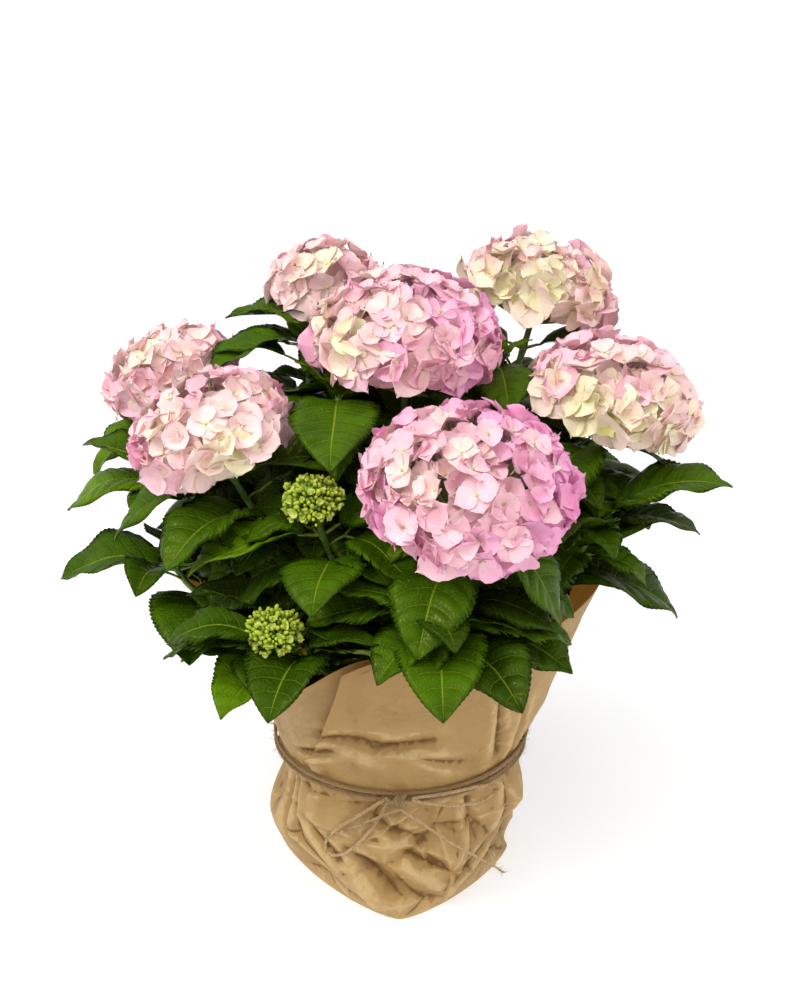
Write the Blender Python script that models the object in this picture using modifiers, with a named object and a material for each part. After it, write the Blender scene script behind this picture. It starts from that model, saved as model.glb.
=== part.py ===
"""Potted mophead hydrangea: a clump of leafy flowering shoots in a nursery pot, the pot
wrapped in one sheet of kraft paper and tied with jute twine in a bow.

Metres, +Z up, +Y away from the front. The origin is the centre of the wrap's flat underside.
The wrap, pot, soil, twine, woody crown and each bare stem are solids of their own. Every
shoot above its stem (twig, leaf pairs and flower head) is one fused solid.
"""

import math
import random
from collections import namedtuple

import bmesh
import bpy
from mathutils import Matrix, Vector
from mathutils.bvhtree import BVHTree

GAP = 0.0003  # between solids that touch
UP = Vector((0, 0, 1))
GOLDEN_ANGLE = math.pi * (3 - math.sqrt(5))
SHARP_EDGE = math.radians(35)  # faces that meet at more than this aren't shaded smooth

# --- nursery pot and soil -------------------------------------------------------------
POT_HEIGHT = 0.165
POT_BASE_RADIUS = 0.070
POT_TOP_RADIUS = 0.086
POT_LIP = 0.004  # how far the rim stands out
POT_LIP_DEPTH = 0.012
POT_WALL = 0.0022
POT_STEPS = 20
SOIL_TOP = 0.150
SOIL_DOME = 0.006  # how much lower the soil is at the pot's wall
SOIL_FLAT_RADIUS = 0.045

# --- kraft paper wrap ------------------------------------------------------------------
PAPER = 0.0012  # the folded sheet's thickness
WRAP_STEPS = 32
WAIST_HEIGHT = 0.119  # where the twine pulls the paper in
WAIST_RADIUS = 0.1025
# Wall rows up to the waist: height, reach to the sides, reach to front and back, and the
# exponent of the section's superellipse, where 2 is round and less is a diamond.
WRAP_ROWS = (
    (0.000, 0.0940, 0.1060, 1.35),
    (0.012, 0.0990, 0.1090, 1.45),
    (0.048, 0.1060, 0.1110, 1.75),
    (0.086, 0.1065, 0.1100, 1.95),
    (WAIST_HEIGHT - 0.007, WAIST_RADIUS + 0.0020, WAIST_RADIUS + 0.0030, 2.00),
    (WAIST_HEIGHT, WAIST_RADIUS, WAIST_RADIUS + 0.0010, 2.00),
)
# The folded ear low on the left: direction in degrees, height, reach, half its height and
# sharpness.
EAR = (-168, 0.040, 0.011, 0.045, 8)
COLLAR_ROWS = 5
RIM_HEIGHT = 0.238
RIM_RADIUS = 0.124
# The rim's corners and its dip: direction in degrees, extra height, extra reach, sharpness.
RIM_SWELLS = (
    (8, 0.028, 0.044, 6),
    (92, 0.012, 0.030, 6),
    (163, 0.026, 0.072, 8),
    (-92, 0.014, -0.006, 8),
    (-138, -0.036, 0.004, 14),
)
COLLAR_BOW = 1.05  # above 1 the collar opens late, below 1 soon
COLLAR_BOW_SIDE = 0.25  # how much sooner on the right than on the left

# --- jute twine --------------------------------------------------------------------------
TWINE_RADIUS = 0.0016
TWINE_STRANDS = (WAIST_HEIGHT - 0.0020, WAIST_HEIGHT + 0.0020)
KNOT_ANGLE = math.radians(-90)
KNOT_RADIUS = 0.0055
KNOT_SHAPE = (1.2, 0.8, 0.9)
STRAND_PROUD = TWINE_RADIUS + 2 * GAP  # a strand's middle, over the paper
KNOT_PROUD = STRAND_PROUD + TWINE_RADIUS + GAP + KNOT_RADIUS * KNOT_SHAPE[1]
LOOP_PROUD = STRAND_PROUD + 2 * TWINE_RADIUS + GAP
LOOP_ROOT_WIDTH = 0.3  # of its widest
LOOP_STEPS = 16
TAIL_TAPER = 0.3
TAIL_STEPS = 8

# --- woody crown and stems --------------------------------------------------------------
CROWN_HEIGHT = 0.022
CROWN_TOP_RADIUS = 0.036
CROWN_LOW_RADIUS = 0.037
CROWN_FLARE_RADIUS = 0.043
CROWN_FLARE_HEIGHT = 0.008
CROWN_STEPS = 12
STEM_RING_RADIUS = 0.030
STEM_RADIUS = 0.0042
STEM_FOOT = 0.006  # a stem's upright start
TWIG_RADIUS = 0.0024
STEM_SHARE = 0.32  # of a shoot's whole length is bare stem
PATH_STEPS = 12
SHOOT_RISE = 0.38  # how long a shoot keeps upright at its foot, of its length
SHOOT_LEAN = 0.26  # how soon it leans outward
SHOOT_AIM = 0.34  # how long it keeps to its tip's direction, of its length
TIP_TILT = 2.2  # how far tips tilt outward, for each metre from the middle
TUBE_SIDES = 4

# --- leaves ---------------------------------------------------------------------------------
LEAF_THICKNESS = 0.0017
LEAF_CLEARANCE = 0.0006  # kept to other shoots, as extra thickness while testing
PETIOLE_SHARE = 0.14
PETIOLE_RADIUS = 0.0017
BLADE_START = 0.126  # leaves of one shoot may cross nearer their roots than this
ROOT_SUNK = 0.0008  # how far a leaf's root runs past its twig's middle
LEAF_WIDTH = 0.74  # of the blade's length
LEAF_BLADE_STATIONS = (0.28, 0.68)
BLADE_ROOT_POWER = 0.55  # the blade's outline is share ** root * (1 - share) ** tip
BLADE_TIP_POWER = 1.12
LEAF_FOLD = math.radians(12)
LEAF_PAIRS = 4
LOW_PAIR = 0.42  # share of the shoot where its lowest leaf pair stands
TOP_PAIR = 0.86
TOP_PAIR_TUFT = 0.985
LOW_RISE = 24  # degrees that the lowest pair's leaves set out at
TOP_BEND = 58  # degrees that a leaf arches down by, from root to tip
LOW_BEND = 86
TOP_LEAF = 0.9  # size of the top pair's leaves, where the lowest are 1
HEADING_VARIES = 12  # degrees either way
RISE_VARIES = 8
BEND_VARIES = 12
ROLL_VARIES = 18
LENGTH_VARIES = 0.08
# Degrees by which a leaf that doesn't fit is lifted and turned, and the sizes tried.
LEAF_TRIES = (
    *((lift, 0) for lift in (0, 12, -12, 24)),
    *((lift, turn) for turn in (16, -16, 32, -32, 48, -48, 64, -64) for lift in (0, 14, -14)),
)
LOWEST_TIP = 0.230
LEAF_SIZES = (1.0, 0.86, 0.72, 0.60)

# --- flower heads ------------------------------------------------------------------------------
FLORET_WIDTH = 0.045
FLORETS_PER_AREA = 25 / 0.15**2  # times the head's width squared
HEAD_RISE = 0.37  # height of the dome over its widest level, times the width
HEAD_DROP = 0.24
HEAD_REACH = math.radians(106)  # florets go this far round from the top
HEAD_INSET = 0.004  # florets' middles lie inside the head's width by this
HEAD_CORE = 0.84
FLORET_EYE = 0.05  # height of a floret's middle over its tips, of its width
FLORET_ROOT = 0.45
FLORET_TILT = 0.16
FLORET_DEPTH = (-0.003, 0.002)
FLORET_SIZES = (0.88, 1.08)
BUD_BEAD_RADIUS = 0.0052
BUD_BEADS = 20

# A shoot: the middle of its flower head or tuft, the head's width, what it carries, how far
# its top leaf pair is turned and how steeply it rises in degrees, and its largest leaf.
Shoot = namedtuple("Shoot", "name tip head kind turn rise leaf")
SHOOTS = (
    Shoot("centre_leafy", (-0.048, -0.005, 0.420), 0.0, "tuft", -80, -5, 0.125),
    Shoot("front", (0.050, -0.120, 0.389), 0.166, "bloom", -15, 4, 0.125),
    Shoot("middle", (0.004, 0.010, 0.460), 0.158, "bloom", -20, 4, 0.135),
    Shoot("back_left", (-0.064, 0.130, 0.470), 0.106, "bloom", 4, 48, 0.110),
    Shoot("back_right", (0.115, 0.110, 0.469), 0.136, "bloom", -15, 24, 0.115),
    Shoot("right", (0.168, 0.000, 0.414), 0.142, "bloom", 8, 14, 0.118),
    Shoot("left_back", (-0.189, 0.085, 0.403), 0.120, "bloom", 8, 8, 0.112),
    Shoot("left", (-0.143, -0.050, 0.406), 0.130, "bloom", -8, 6, 0.125),
    Shoot("rear", (0.020, 0.195, 0.395), 0.135, "bloom", 30, 4, 0.120),
    Shoot("upper_bud", (-0.064, -0.100, 0.372), 0.050, "bud", 25, 10, 0.120),
    Shoot("lower_bud", (-0.092, -0.150, 0.288), 0.046, "bud", -6, 24, 0.110),
    Shoot("front_leafy", (0.031, -0.128, 0.290), 0.0, "tuft", 0, 16, 0.125),
    Shoot("right_leafy", (0.157, -0.035, 0.328), 0.0, "tuft", -10, 48, 0.132),
    Shoot("right_high_leafy", (0.140, 0.040, 0.360), 0.0, "tuft", 20, 30, 0.110),
    Shoot("left_leafy", (-0.180, -0.020, 0.280), 0.0, "tuft", 0, 20, 0.118),
    Shoot("left_high_leafy", (-0.178, 0.020, 0.345), 0.0, "tuft", 6, 24, 0.112),
    Shoot("left_low_leafy", (-0.088, -0.112, 0.252), 0.0, "tuft", 62, 12, 0.112),
    Shoot("inner_left_leafy", (-0.080, 0.075, 0.440), 0.0, "tuft", 0, 18, 0.112),
    Shoot("inner_right_leafy", (0.078, 0.050, 0.428), 0.0, "tuft", 70, 22, 0.115),
    Shoot("rear_left_leafy", (-0.130, 0.160, 0.320), 0.0, "tuft", 45, 24, 0.125),
    Shoot("rear_right_leafy", (0.140, 0.150, 0.325), 0.0, "tuft", 50, 24, 0.125),
)

Leaf = namedtuple("Leaf", "base heading rise bend length roll")


# ============================ small helpers =========================================


def clear_scene():
    for obj in list(bpy.data.objects):
        bpy.data.objects.remove(obj)


def new_collection(name):
    collection = bpy.data.collections.new(name)
    bpy.context.scene.collection.children.link(collection)
    return collection


def material(name, colour, roughness):
    made = bpy.data.materials.new(name)
    made.use_nodes = True
    shader = made.node_tree.nodes["Principled BSDF"]
    shader.inputs["Base Color"].default_value = (*colour, 1)
    shader.inputs["Roughness"].default_value = roughness
    shader.inputs["Metallic"].default_value = 0
    return made


def object_of(bm, name, collection, *finishes):
    """The bmesh as an object of that name, shaded smooth apart from its sharp edges."""
    mesh = bpy.data.meshes.new(name)
    bm.to_mesh(mesh)
    bm.free()
    mesh.shade_smooth()
    mesh.set_sharp_from_angle(angle=SHARP_EDGE)
    for finish in finishes:
        mesh.materials.append(finish)
    obj = bpy.data.objects.new(name, mesh)
    collection.objects.link(obj)
    return obj


def tube(name, points, radii, collection, finish, closed=False):
    """A round bar along points, as a mesh with its end caps welded on."""
    curve = bpy.data.curves.new(name, "CURVE")
    curve.dimensions = "3D"
    curve.bevel_depth = 1
    curve.bevel_resolution = (TUBE_SIDES - 4) // 2
    curve.use_fill_caps = not closed
    spline = curve.splines.new("POLY")
    spline.points.add(len(points) - 1)
    for spot, point, radius in zip(spline.points, points, radii):
        spot.co = (*point, 1)
        spot.radius = radius
    spline.use_cyclic_u = closed
    guide = bpy.data.objects.new(name, curve)
    collection.objects.link(guide)
    bpy.context.view_layer.update()
    graph = bpy.context.evaluated_depsgraph_get()
    mesh = bpy.data.meshes.new_from_object(guide.evaluated_get(graph))
    bpy.data.objects.remove(guide)
    bm = bmesh.new()
    bm.from_mesh(mesh)
    bmesh.ops.remove_doubles(bm, verts=bm.verts, dist=1e-6)
    bmesh.ops.recalc_face_normals(bm, faces=bm.faces)
    return object_of(bm, name, collection, finish)


def turned(name, profile, steps, collection):
    """The mesh of a profile, (radius, height) pairs, turned about Z by a Screw modifier."""
    mesh = bpy.data.meshes.new(name)
    corners = [(radius, 0, height) for radius, height in profile]
    mesh.from_pydata(corners, [(i, i + 1) for i in range(len(corners) - 1)], [])
    guide = bpy.data.objects.new(name, mesh)
    collection.objects.link(guide)
    screw = guide.modifiers.new("turn", "SCREW")
    screw.steps = screw.render_steps = steps
    screw.use_merge_vertices = True
    screw.merge_threshold = 1e-5
    bpy.context.view_layer.update()
    graph = bpy.context.evaluated_depsgraph_get()
    made = bpy.data.meshes.new_from_object(guide.evaluated_get(graph))
    bpy.data.objects.remove(guide)
    bm = bmesh.new()
    bm.from_mesh(made)
    return bm


def tree_of(obj):
    """A search tree of an object's faces, for overlap tests."""
    mesh = obj.data
    return BVHTree.FromPolygons([v.co for v in mesh.vertices], [p.vertices for p in mesh.polygons])


def fused(name, pieces, collection):
    """One solid of that name: pieces[0] with all the other pieces united onto it. Each
    face keeps its piece's material."""
    whole, *others = pieces
    group = new_collection(name + "_pieces")
    for piece in others:
        for old in list(piece.users_collection):
            old.objects.unlink(piece)
        group.objects.link(piece)
    union = whole.modifiers.new("join", "BOOLEAN")
    union.operation = "UNION"
    union.operand_type = "COLLECTION"
    union.collection = group
    union.solver = "MANIFOLD"  # EXACT leaves walls that touch where leaf roots meet
    union.material_mode = "TRANSFER"
    bpy.context.view_layer.update()
    graph = bpy.context.evaluated_depsgraph_get()
    mesh = bpy.data.meshes.new_from_object(whole.evaluated_get(graph))
    finishes = list(mesh.materials)
    for piece in others:
        bpy.data.objects.remove(piece)
    bpy.data.collections.remove(group)
    bpy.data.objects.remove(whole)
    bm = bmesh.new()
    bm.from_mesh(mesh)
    bmesh.ops.triangulate(bm, faces=bm.faces)
    return object_of(largest_body(bm), name, collection, *finishes)


def largest_body(bm):
    """Drops loose scraps and the skins of sealed hollows: keeps the largest run of faces."""
    left, best = set(bm.faces), []
    while left:
        todo, body = [left.pop()], []
        while todo:
            face = todo.pop()
            body.append(face)
            for edge in face.edges:
                for other in edge.link_faces:
                    if other in left:
                        left.remove(other)
                        todo.append(other)
        if len(body) > len(best):
            best = body
    keep = set(best)
    bmesh.ops.delete(bm, geom=[face for face in bm.faces if face not in keep], context="FACES")
    return bm


# ============================ pot, soil and wrap ====================================


def pot(collection, finish):
    """A thin tapered pot with a rolled rim, standing on the paper."""
    floor = PAPER + GAP
    rim = floor + POT_HEIGHT
    profile = (
        (0, floor + POT_WALL),
        (POT_BASE_RADIUS - POT_WALL, floor + POT_WALL),
        (POT_TOP_RADIUS - POT_WALL, rim),
        (POT_TOP_RADIUS + POT_LIP, rim),
        (POT_TOP_RADIUS + POT_LIP, rim - POT_LIP_DEPTH),
        (POT_TOP_RADIUS - POT_WALL / 2, rim - POT_LIP_DEPTH),
        (POT_BASE_RADIUS, floor),
        (0, floor),
    )
    bm = turned("nursery_pot", profile, POT_STEPS, collection)
    return object_of(bm, "nursery_pot", collection, finish)


def inner_pot_radius(height):
    """The radius inside the pot's wall at that height."""
    share = (height - PAPER - GAP - POT_WALL) / (POT_HEIGHT - POT_WALL)
    return POT_BASE_RADIUS - POT_WALL + share * (POT_TOP_RADIUS - POT_BASE_RADIUS)


def soil(collection, finish):
    """The potting soil: it fills the pot to a low mound."""
    floor = PAPER + GAP + POT_WALL + GAP
    clear = 2 * GAP
    edge = SOIL_TOP - SOIL_DOME
    profile = (
        (0, SOIL_TOP),
        (SOIL_FLAT_RADIUS, SOIL_TOP),
        (inner_pot_radius(edge) - clear, edge),
        (inner_pot_radius(floor) - clear, floor),
        (0, floor),
    )
    bm = turned("potting_soil", profile, POT_STEPS, collection)
    return object_of(bm, "potting_soil", collection, finish)


def section(angle, side, depth, power):
    """The radius of a superellipse section that reaches out to the four folded corners."""
    spread = abs(math.cos(angle) / side) ** power + abs(math.sin(angle) / depth) ** power
    return spread ** (-1 / power)


def rim_at(angle):
    """Height and radius of the collar's rim in that direction."""
    height, radius = RIM_HEIGHT, RIM_RADIUS
    for direction, rise, reach, sharpness in RIM_SWELLS:
        share = max(0, math.cos(angle - math.radians(direction))) ** sharpness
        height += rise * share
        radius += reach * share
    return height, radius


def wrap_point(angle, row):
    """A point of the paper's outer face: row 0 is the base's edge, the last is the rim."""
    waist = len(WRAP_ROWS) - 1
    if row <= waist:
        height, side, depth, power = WRAP_ROWS[row]
        ear_angle, ear_height, ear_reach, ear_half, ear_sharpness = EAR
        near = max(0, math.cos(angle - math.radians(ear_angle))) ** ear_sharpness
        level = max(0, 1 - abs(height - ear_height) / ear_half)
        radius = section(angle, side, depth, power) + ear_reach * near * level
    else:
        share = (row - waist) / COLLAR_ROWS
        rim_height, rim_radius = rim_at(angle)
        bow = COLLAR_BOW - COLLAR_BOW_SIDE * math.cos(angle)
        height = WAIST_HEIGHT + share * (rim_height - WAIST_HEIGHT)
        radius = WAIST_RADIUS + share**bow * (rim_radius - WAIST_RADIUS)
    return Vector((radius * math.cos(angle), radius * math.sin(angle), height))


def paper_wrap(collection, finish):
    """The kraft sheet: a turned cup whose rows are pushed out to its folds and corners."""
    last_row = len(WRAP_ROWS) - 1 + COLLAR_ROWS
    profile = [(1.0, row) for row in range(last_row, -1, -1)] + [(0.0, 0)]
    bm = turned("paper_wrap", profile, WRAP_STEPS, collection)
    for vertex in bm.verts:
        if vertex.co.xy.length < 0.5:
            vertex.co = (0, 0, 0)
        else:
            angle = math.atan2(vertex.co.y, vertex.co.x)
            vertex.co = wrap_point(angle, round(vertex.co.z))
    obj = object_of(bm, "paper_wrap", collection, finish)
    wall = obj.modifiers.new("sheet", "SOLIDIFY")
    wall.thickness = PAPER
    wall.offset = -1
    return obj


# ============================ twine ===================================================


def wrap_radius(angle, height):
    """The outer radius of the paper at that height, up to the rim."""
    for row in range(len(WRAP_ROWS) - 1 + COLLAR_ROWS):
        low, high = wrap_point(angle, row), wrap_point(angle, row + 1)
        if height <= high.z:
            share = (height - low.z) / (high.z - low.z)
            return low.xy.length + share * (high.xy.length - low.xy.length)
    return high.xy.length


def on_wrap(across, height, proud):
    """A point beside the knot, that far round the paper and standing that proud of it."""
    angle = KNOT_ANGLE + across / WAIST_RADIUS
    radius = wrap_radius(angle, height) + proud
    return Vector((radius * math.cos(angle), radius * math.sin(angle), height))


def twine_band(name, height, collection, finish):
    """One strand tied round the waist."""
    points = []
    for step in range(WRAP_STEPS):
        angle = step * math.tau / WRAP_STEPS
        radius = wrap_radius(angle, height) + STRAND_PROUD
        points.append(Vector((radius * math.cos(angle), radius * math.sin(angle), height)))
    return tube(name, points, [TWINE_RADIUS] * WRAP_STEPS, collection, finish, closed=True)


def twine_knot(collection, finish):
    """The knot, seated on the two strands."""
    bm = bmesh.new()
    bmesh.ops.create_uvsphere(bm, u_segments=8, v_segments=5, radius=KNOT_RADIUS)
    bmesh.ops.scale(bm, verts=bm.verts, vec=KNOT_SHAPE)
    bmesh.ops.translate(bm, verts=bm.verts, vec=on_wrap(0, WAIST_HEIGHT, KNOT_PROUD))
    return object_of(bm, "twine_knot", collection, finish)


def twine_loop(name, reach, drop, width, collection, finish):
    """A bow loop over the strands: out from beside the knot and back, as a drop shape."""
    side = math.copysign(1, reach)
    start = side * (KNOT_RADIUS * KNOT_SHAPE[0] + TWINE_RADIUS + 2 * GAP)
    size = math.hypot(reach, drop)
    points = []
    for step in range(LOOP_STEPS + 1):
        turn = math.tau * (step + 0.25) / (LOOP_STEPS + 0.5)
        out = (1 - math.cos(turn)) / 2
        spread = math.sin(turn) * width * (LOOP_ROOT_WIDTH + (1 - LOOP_ROOT_WIDTH) * out)
        across = start + out * reach + spread * drop / size * side
        height = WAIST_HEIGHT - out * drop + spread * abs(reach) / size
        points.append(on_wrap(across, height, LOOP_PROUD))
    return tube(name, points, [TWINE_RADIUS] * len(points), collection, finish)


def twine_tail(name, reach, drop, sag, collection, finish):
    """A loose end that runs down from under the knot and stands off the paper by its sag."""
    top = WAIST_HEIGHT - KNOT_RADIUS * KNOT_SHAPE[2] - TWINE_RADIUS / 2 - GAP
    points = []
    radii = []
    for step in range(TAIL_STEPS + 1):
        share = step / TAIL_STEPS
        points.append(on_wrap(reach * share, top - drop * share**1.15, KNOT_PROUD + sag * share))
        radii.append(TWINE_RADIUS * (1 - TAIL_TAPER * share))
    return tube(name, points, radii, collection, finish)


# ============================ growth rule ================================================


def stem_seats():
    """Where each shoot leaves the woody crown: a ring sorted by direction, so none cross."""
    def direction(shoot):
        return math.atan2(shoot.tip[1], shoot.tip[0])

    centre = min(SHOOTS, key=lambda shoot: math.hypot(shoot.tip[0], shoot.tip[1]))
    ring = sorted((shoot for shoot in SHOOTS if shoot != centre), key=direction)
    top = SOIL_TOP + GAP + CROWN_HEIGHT + GAP
    seats = {centre.name: Vector((0, 0, top))}
    for place, shoot in enumerate(ring):
        angle = -math.pi + (place + 0.5) * math.tau / len(ring)
        spot = Vector((math.cos(angle), math.sin(angle), 0)) * STEM_RING_RADIUS
        seats[shoot.name] = spot + UP * top
    return seats


def shoot_path(shoot, seat):
    """The shoot's centre line from the crown to its tip: upright at first, then leaning out."""
    tip = Vector(shoot.tip)
    foot = seat + UP * STEM_FOOT
    length = (tip - foot).length
    first = foot + UP * length * SHOOT_RISE + Vector((tip.x, tip.y, 0)) * SHOOT_LEAN
    second = tip - head_axis(shoot) * length * SHOOT_AIM
    points = [seat]
    for step in range(PATH_STEPS + 1):
        t = step / PATH_STEPS
        low = foot * (1 - t) ** 3 + first * 3 * t * (1 - t) ** 2
        points.append(low + second * 3 * t * t * (1 - t) + tip * t**3)
    return points


def head_axis(shoot):
    """Heads and tufts tilt a little outward from upright."""
    tip = Vector(shoot.tip)
    return (UP + Vector((tip.x, tip.y, 0)) * TIP_TILT).normalized()


def along(points, share):
    """The point and direction at a share of the way along a path."""
    place = min(share, 0.9999) * (len(points) - 1)
    low = int(place)
    step = points[low + 1] - points[low]
    return points[low] + step * (place - low), step.normalized()


def radius_at(share):
    return STEM_RADIUS + (TWIG_RADIUS - STEM_RADIUS) * share


def varied(rng, reach):
    return rng.uniform(-reach, reach)


def leaf_pair(shoot, path, pair):
    """A shoot's opposite pair of leaves, counted from the top, each pair turned a right angle
    from the one over it."""
    rng = random.Random(f"{shoot.name} {pair}")
    lower = pair / (LEAF_PAIRS - 1)
    top = TOP_PAIR if shoot.head else TOP_PAIR_TUFT
    base, _ = along(path, top + (LOW_PAIR - top) * lower)
    leaves = []
    for side in range(2):
        heading = shoot.turn + 90 * pair + 180 * side + varied(rng, HEADING_VARIES)
        rise = shoot.rise + (LOW_RISE - shoot.rise) * lower + varied(rng, RISE_VARIES)
        bend = TOP_BEND + (LOW_BEND - TOP_BEND) * lower + varied(rng, BEND_VARIES)
        length = shoot.leaf * (TOP_LEAF + (1 - TOP_LEAF) * lower) * (1 + varied(rng, LENGTH_VARIES))
        roll = varied(rng, ROLL_VARIES)
        angles = (math.radians(angle) for angle in (heading, rise, bend))
        leaves.append(Leaf(base, *angles, length, math.radians(roll)))
    return leaves


def blade_half_width(share):
    """Half the blade's width at a share of its length, times that length: oval, pointed."""
    def outline(place):
        return place**BLADE_ROOT_POWER * (1 - place) ** BLADE_TIP_POWER

    widest = BLADE_ROOT_POWER / (BLADE_ROOT_POWER + BLADE_TIP_POWER)
    return LEAF_WIDTH / 2 * outline(share) / outline(widest)


def leaf_frame(leaf, share):
    """Point, across and upward directions of the midrib at a share of the leaf's length."""
    flat = Vector((math.cos(leaf.heading), math.sin(leaf.heading), 0))
    straight = min(share, PETIOLE_SHARE) * leaf.length - ROOT_SUNK
    bent = max(0, share - PETIOLE_SHARE) / (1 - PETIOLE_SHARE)
    end = leaf.rise - leaf.bend * bent
    curl = leaf.length * (1 - PETIOLE_SHARE) / leaf.bend
    ahead = straight * math.cos(leaf.rise) + curl * (math.sin(leaf.rise) - math.sin(end))
    above = straight * math.sin(leaf.rise) + curl * (math.cos(end) - math.cos(leaf.rise))
    across = Vector((-flat.y, flat.x, 0))
    normal = UP * math.cos(end) - flat * math.sin(end)
    roll = leaf.roll * bent
    return (
        leaf.base + flat * ahead + UP * above,
        across * math.cos(roll) + normal * math.sin(roll),
        normal * math.cos(roll) - across * math.sin(roll),
    )


def leaf_solid(leaf, name, collection, finish, extra=0.0, start=0.0):
    """A leaf as a shaped ball: its poles are the root and tip, its four sides the two edges
    and the two faces of the midrib. Extra thickens it, and start leaves its root off."""
    stations = [(start, PETIOLE_RADIUS), (PETIOLE_SHARE, PETIOLE_RADIUS)]
    for share in LEAF_BLADE_STATIONS:
        place = PETIOLE_SHARE + share * (1 - PETIOLE_SHARE)
        stations.append((place, blade_half_width(share) * leaf.length * (1 - PETIOLE_SHARE)))
    stations.append((1, 0))
    bm = bmesh.new()
    bmesh.ops.create_uvsphere(bm, u_segments=4, v_segments=len(stations) - 1, radius=1)
    for vertex in bm.verts:
        polar = math.acos(max(-1, min(1, -vertex.co.z)))
        ring = round(polar / math.pi * (len(stations) - 1))
        share, half = stations[ring]
        point, across, normal = leaf_frame(leaf, share)
        side = round(vertex.co.x / max(math.sin(polar), 1e-6))
        face = round(vertex.co.y / max(math.sin(polar), 1e-6))
        if ring in (0, len(stations) - 1):
            vertex.co = point
            continue
        thick = PETIOLE_RADIUS if ring == 1 else LEAF_THICKNESS / 2
        edge = across * side * math.cos(LEAF_FOLD) + normal * abs(side) * math.sin(LEAF_FOLD)
        vertex.co = point + edge * (half + extra) + normal * face * (thick + extra)
    return object_of(bm, name, collection, finish)


def head_surface(shoot, polar, turn, scale=1.0):
    """A point of the head's dome and its outward direction."""
    half = shoot.head / 2 - HEAD_INSET
    tall = shoot.head * (HEAD_RISE if math.cos(polar) > 0 else HEAD_DROP)
    local = Vector((math.sin(polar) * math.cos(turn), math.sin(polar) * math.sin(turn), math.cos(polar)))
    size = Vector((half, half, tall)) * scale
    point = Vector(local[i] * size[i] for i in range(3))
    outward = Vector(local[i] / size[i] for i in range(3)).normalized()
    lean = UP.rotation_difference(head_axis(shoot)).to_matrix()
    return Vector(shoot.tip) + lean @ point, lean @ outward


def head_core(shoot, collection, finish):
    bm = bmesh.new()
    bmesh.ops.create_uvsphere(bm, u_segments=8, v_segments=5, radius=1)
    for vertex in bm.verts:
        polar = math.acos(max(-1, min(1, vertex.co.z)))
        turn = math.atan2(vertex.co.y, vertex.co.x)
        vertex.co = head_surface(shoot, polar, turn, HEAD_CORE)[0]
    return object_of(bm, shoot.name + "_core", collection, finish)


def head_spots(shoot, count):
    """Even spots over the dome, by the golden angle."""
    for k in range(count):
        height = 1 - (1 - math.cos(HEAD_REACH)) * (k + 0.5) / count
        yield head_surface(shoot, math.acos(height), k * GOLDEN_ANGLE)


def floret_solid(point, outward, spin, width, name, collection, finish):
    """A four-sepal floret as a shaped ball: its sepals' tips, a sunken eye, and a root that
    runs down into the head's core."""
    bm = bmesh.new()
    bmesh.ops.create_uvsphere(bm, u_segments=4, v_segments=2, radius=width / 2)
    bm.verts.ensure_lookup_table()
    for vertex in bm.verts:
        if vertex.co.z > width / 4:
            vertex.co.z = FLORET_EYE * width
        elif vertex.co.z < -width / 4:
            vertex.co.z = -FLORET_ROOT * width
    lean = UP.rotation_difference(outward).to_matrix().to_4x4()
    turn = Matrix.Rotation(spin, 4, "Z")
    bmesh.ops.transform(bm, verts=bm.verts, matrix=Matrix.Translation(point) @ lean @ turn)
    return object_of(bm, name, collection, finish)


def bead_solid(point, outward, name, collection, finish):
    """One knobbly green bud."""
    bm = bmesh.new()
    bmesh.ops.create_uvsphere(bm, u_segments=4, v_segments=2, radius=BUD_BEAD_RADIUS)
    lean = UP.rotation_difference(outward).to_matrix().to_4x4()
    bmesh.ops.transform(bm, verts=bm.verts, matrix=Matrix.Translation(point) @ lean)
    return object_of(bm, name, collection, finish)


def bloom_pieces(shoot, collection, finish):
    """Core and florets, or core and beads, of the shoot's head."""
    if shoot.kind == "tuft":
        return []
    rng = random.Random(shoot.name + " head")
    pieces = [head_core(shoot, collection, finish)]
    if shoot.kind == "bud":
        for k, (point, outward) in enumerate(head_spots(shoot, BUD_BEADS)):
            pieces.append(bead_solid(point, outward, f"{shoot.name}_bead_{k}", collection, finish))
        return pieces
    count = round(FLORETS_PER_AREA * shoot.head**2)
    for k, (point, outward) in enumerate(head_spots(shoot, count)):
        outward = (outward + Vector(varied(rng, FLORET_TILT) for _ in range(3))).normalized()
        point = point + outward * rng.uniform(*FLORET_DEPTH)
        name = f"{shoot.name}_floret_{k}"
        spin = rng.uniform(0, math.pi / 2)
        width = FLORET_WIDTH * rng.uniform(*FLORET_SIZES)
        pieces.append(floret_solid(point, outward, spin, width, name, collection, finish))
    return pieces


# ============================ plant assembly =============================================


def split_path(path):
    """The bare stem's points and the twig's, with the gap in the middle of a segment."""
    cut = int(STEM_SHARE * (len(path) - 1))
    middle = (path[cut] + path[cut + 1]) / 2
    half_gap = (path[cut + 1] - path[cut]).normalized() * GAP / 2
    return path[: cut + 1] + [middle - half_gap], [middle + half_gap] + path[cut + 1 :]


def tapered(name, points, first_share, last_share, collection, finish):
    """A tapering bar between two shares of its shoot's length."""
    steps = len(points) - 1
    shares = [first_share + (last_share - first_share) * step / steps for step in range(steps + 1)]
    return tube(name, points, [radius_at(share) for share in shares], collection, finish)


def bare_stem(shoot, path, collection, finish):
    return tapered("stem_" + shoot.name, split_path(path)[0], 0, STEM_SHARE, collection, finish)


def twig(shoot, path, collection, finish):
    return tapered("twig_" + shoot.name, split_path(path)[1], STEM_SHARE, 1, collection, finish)


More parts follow.
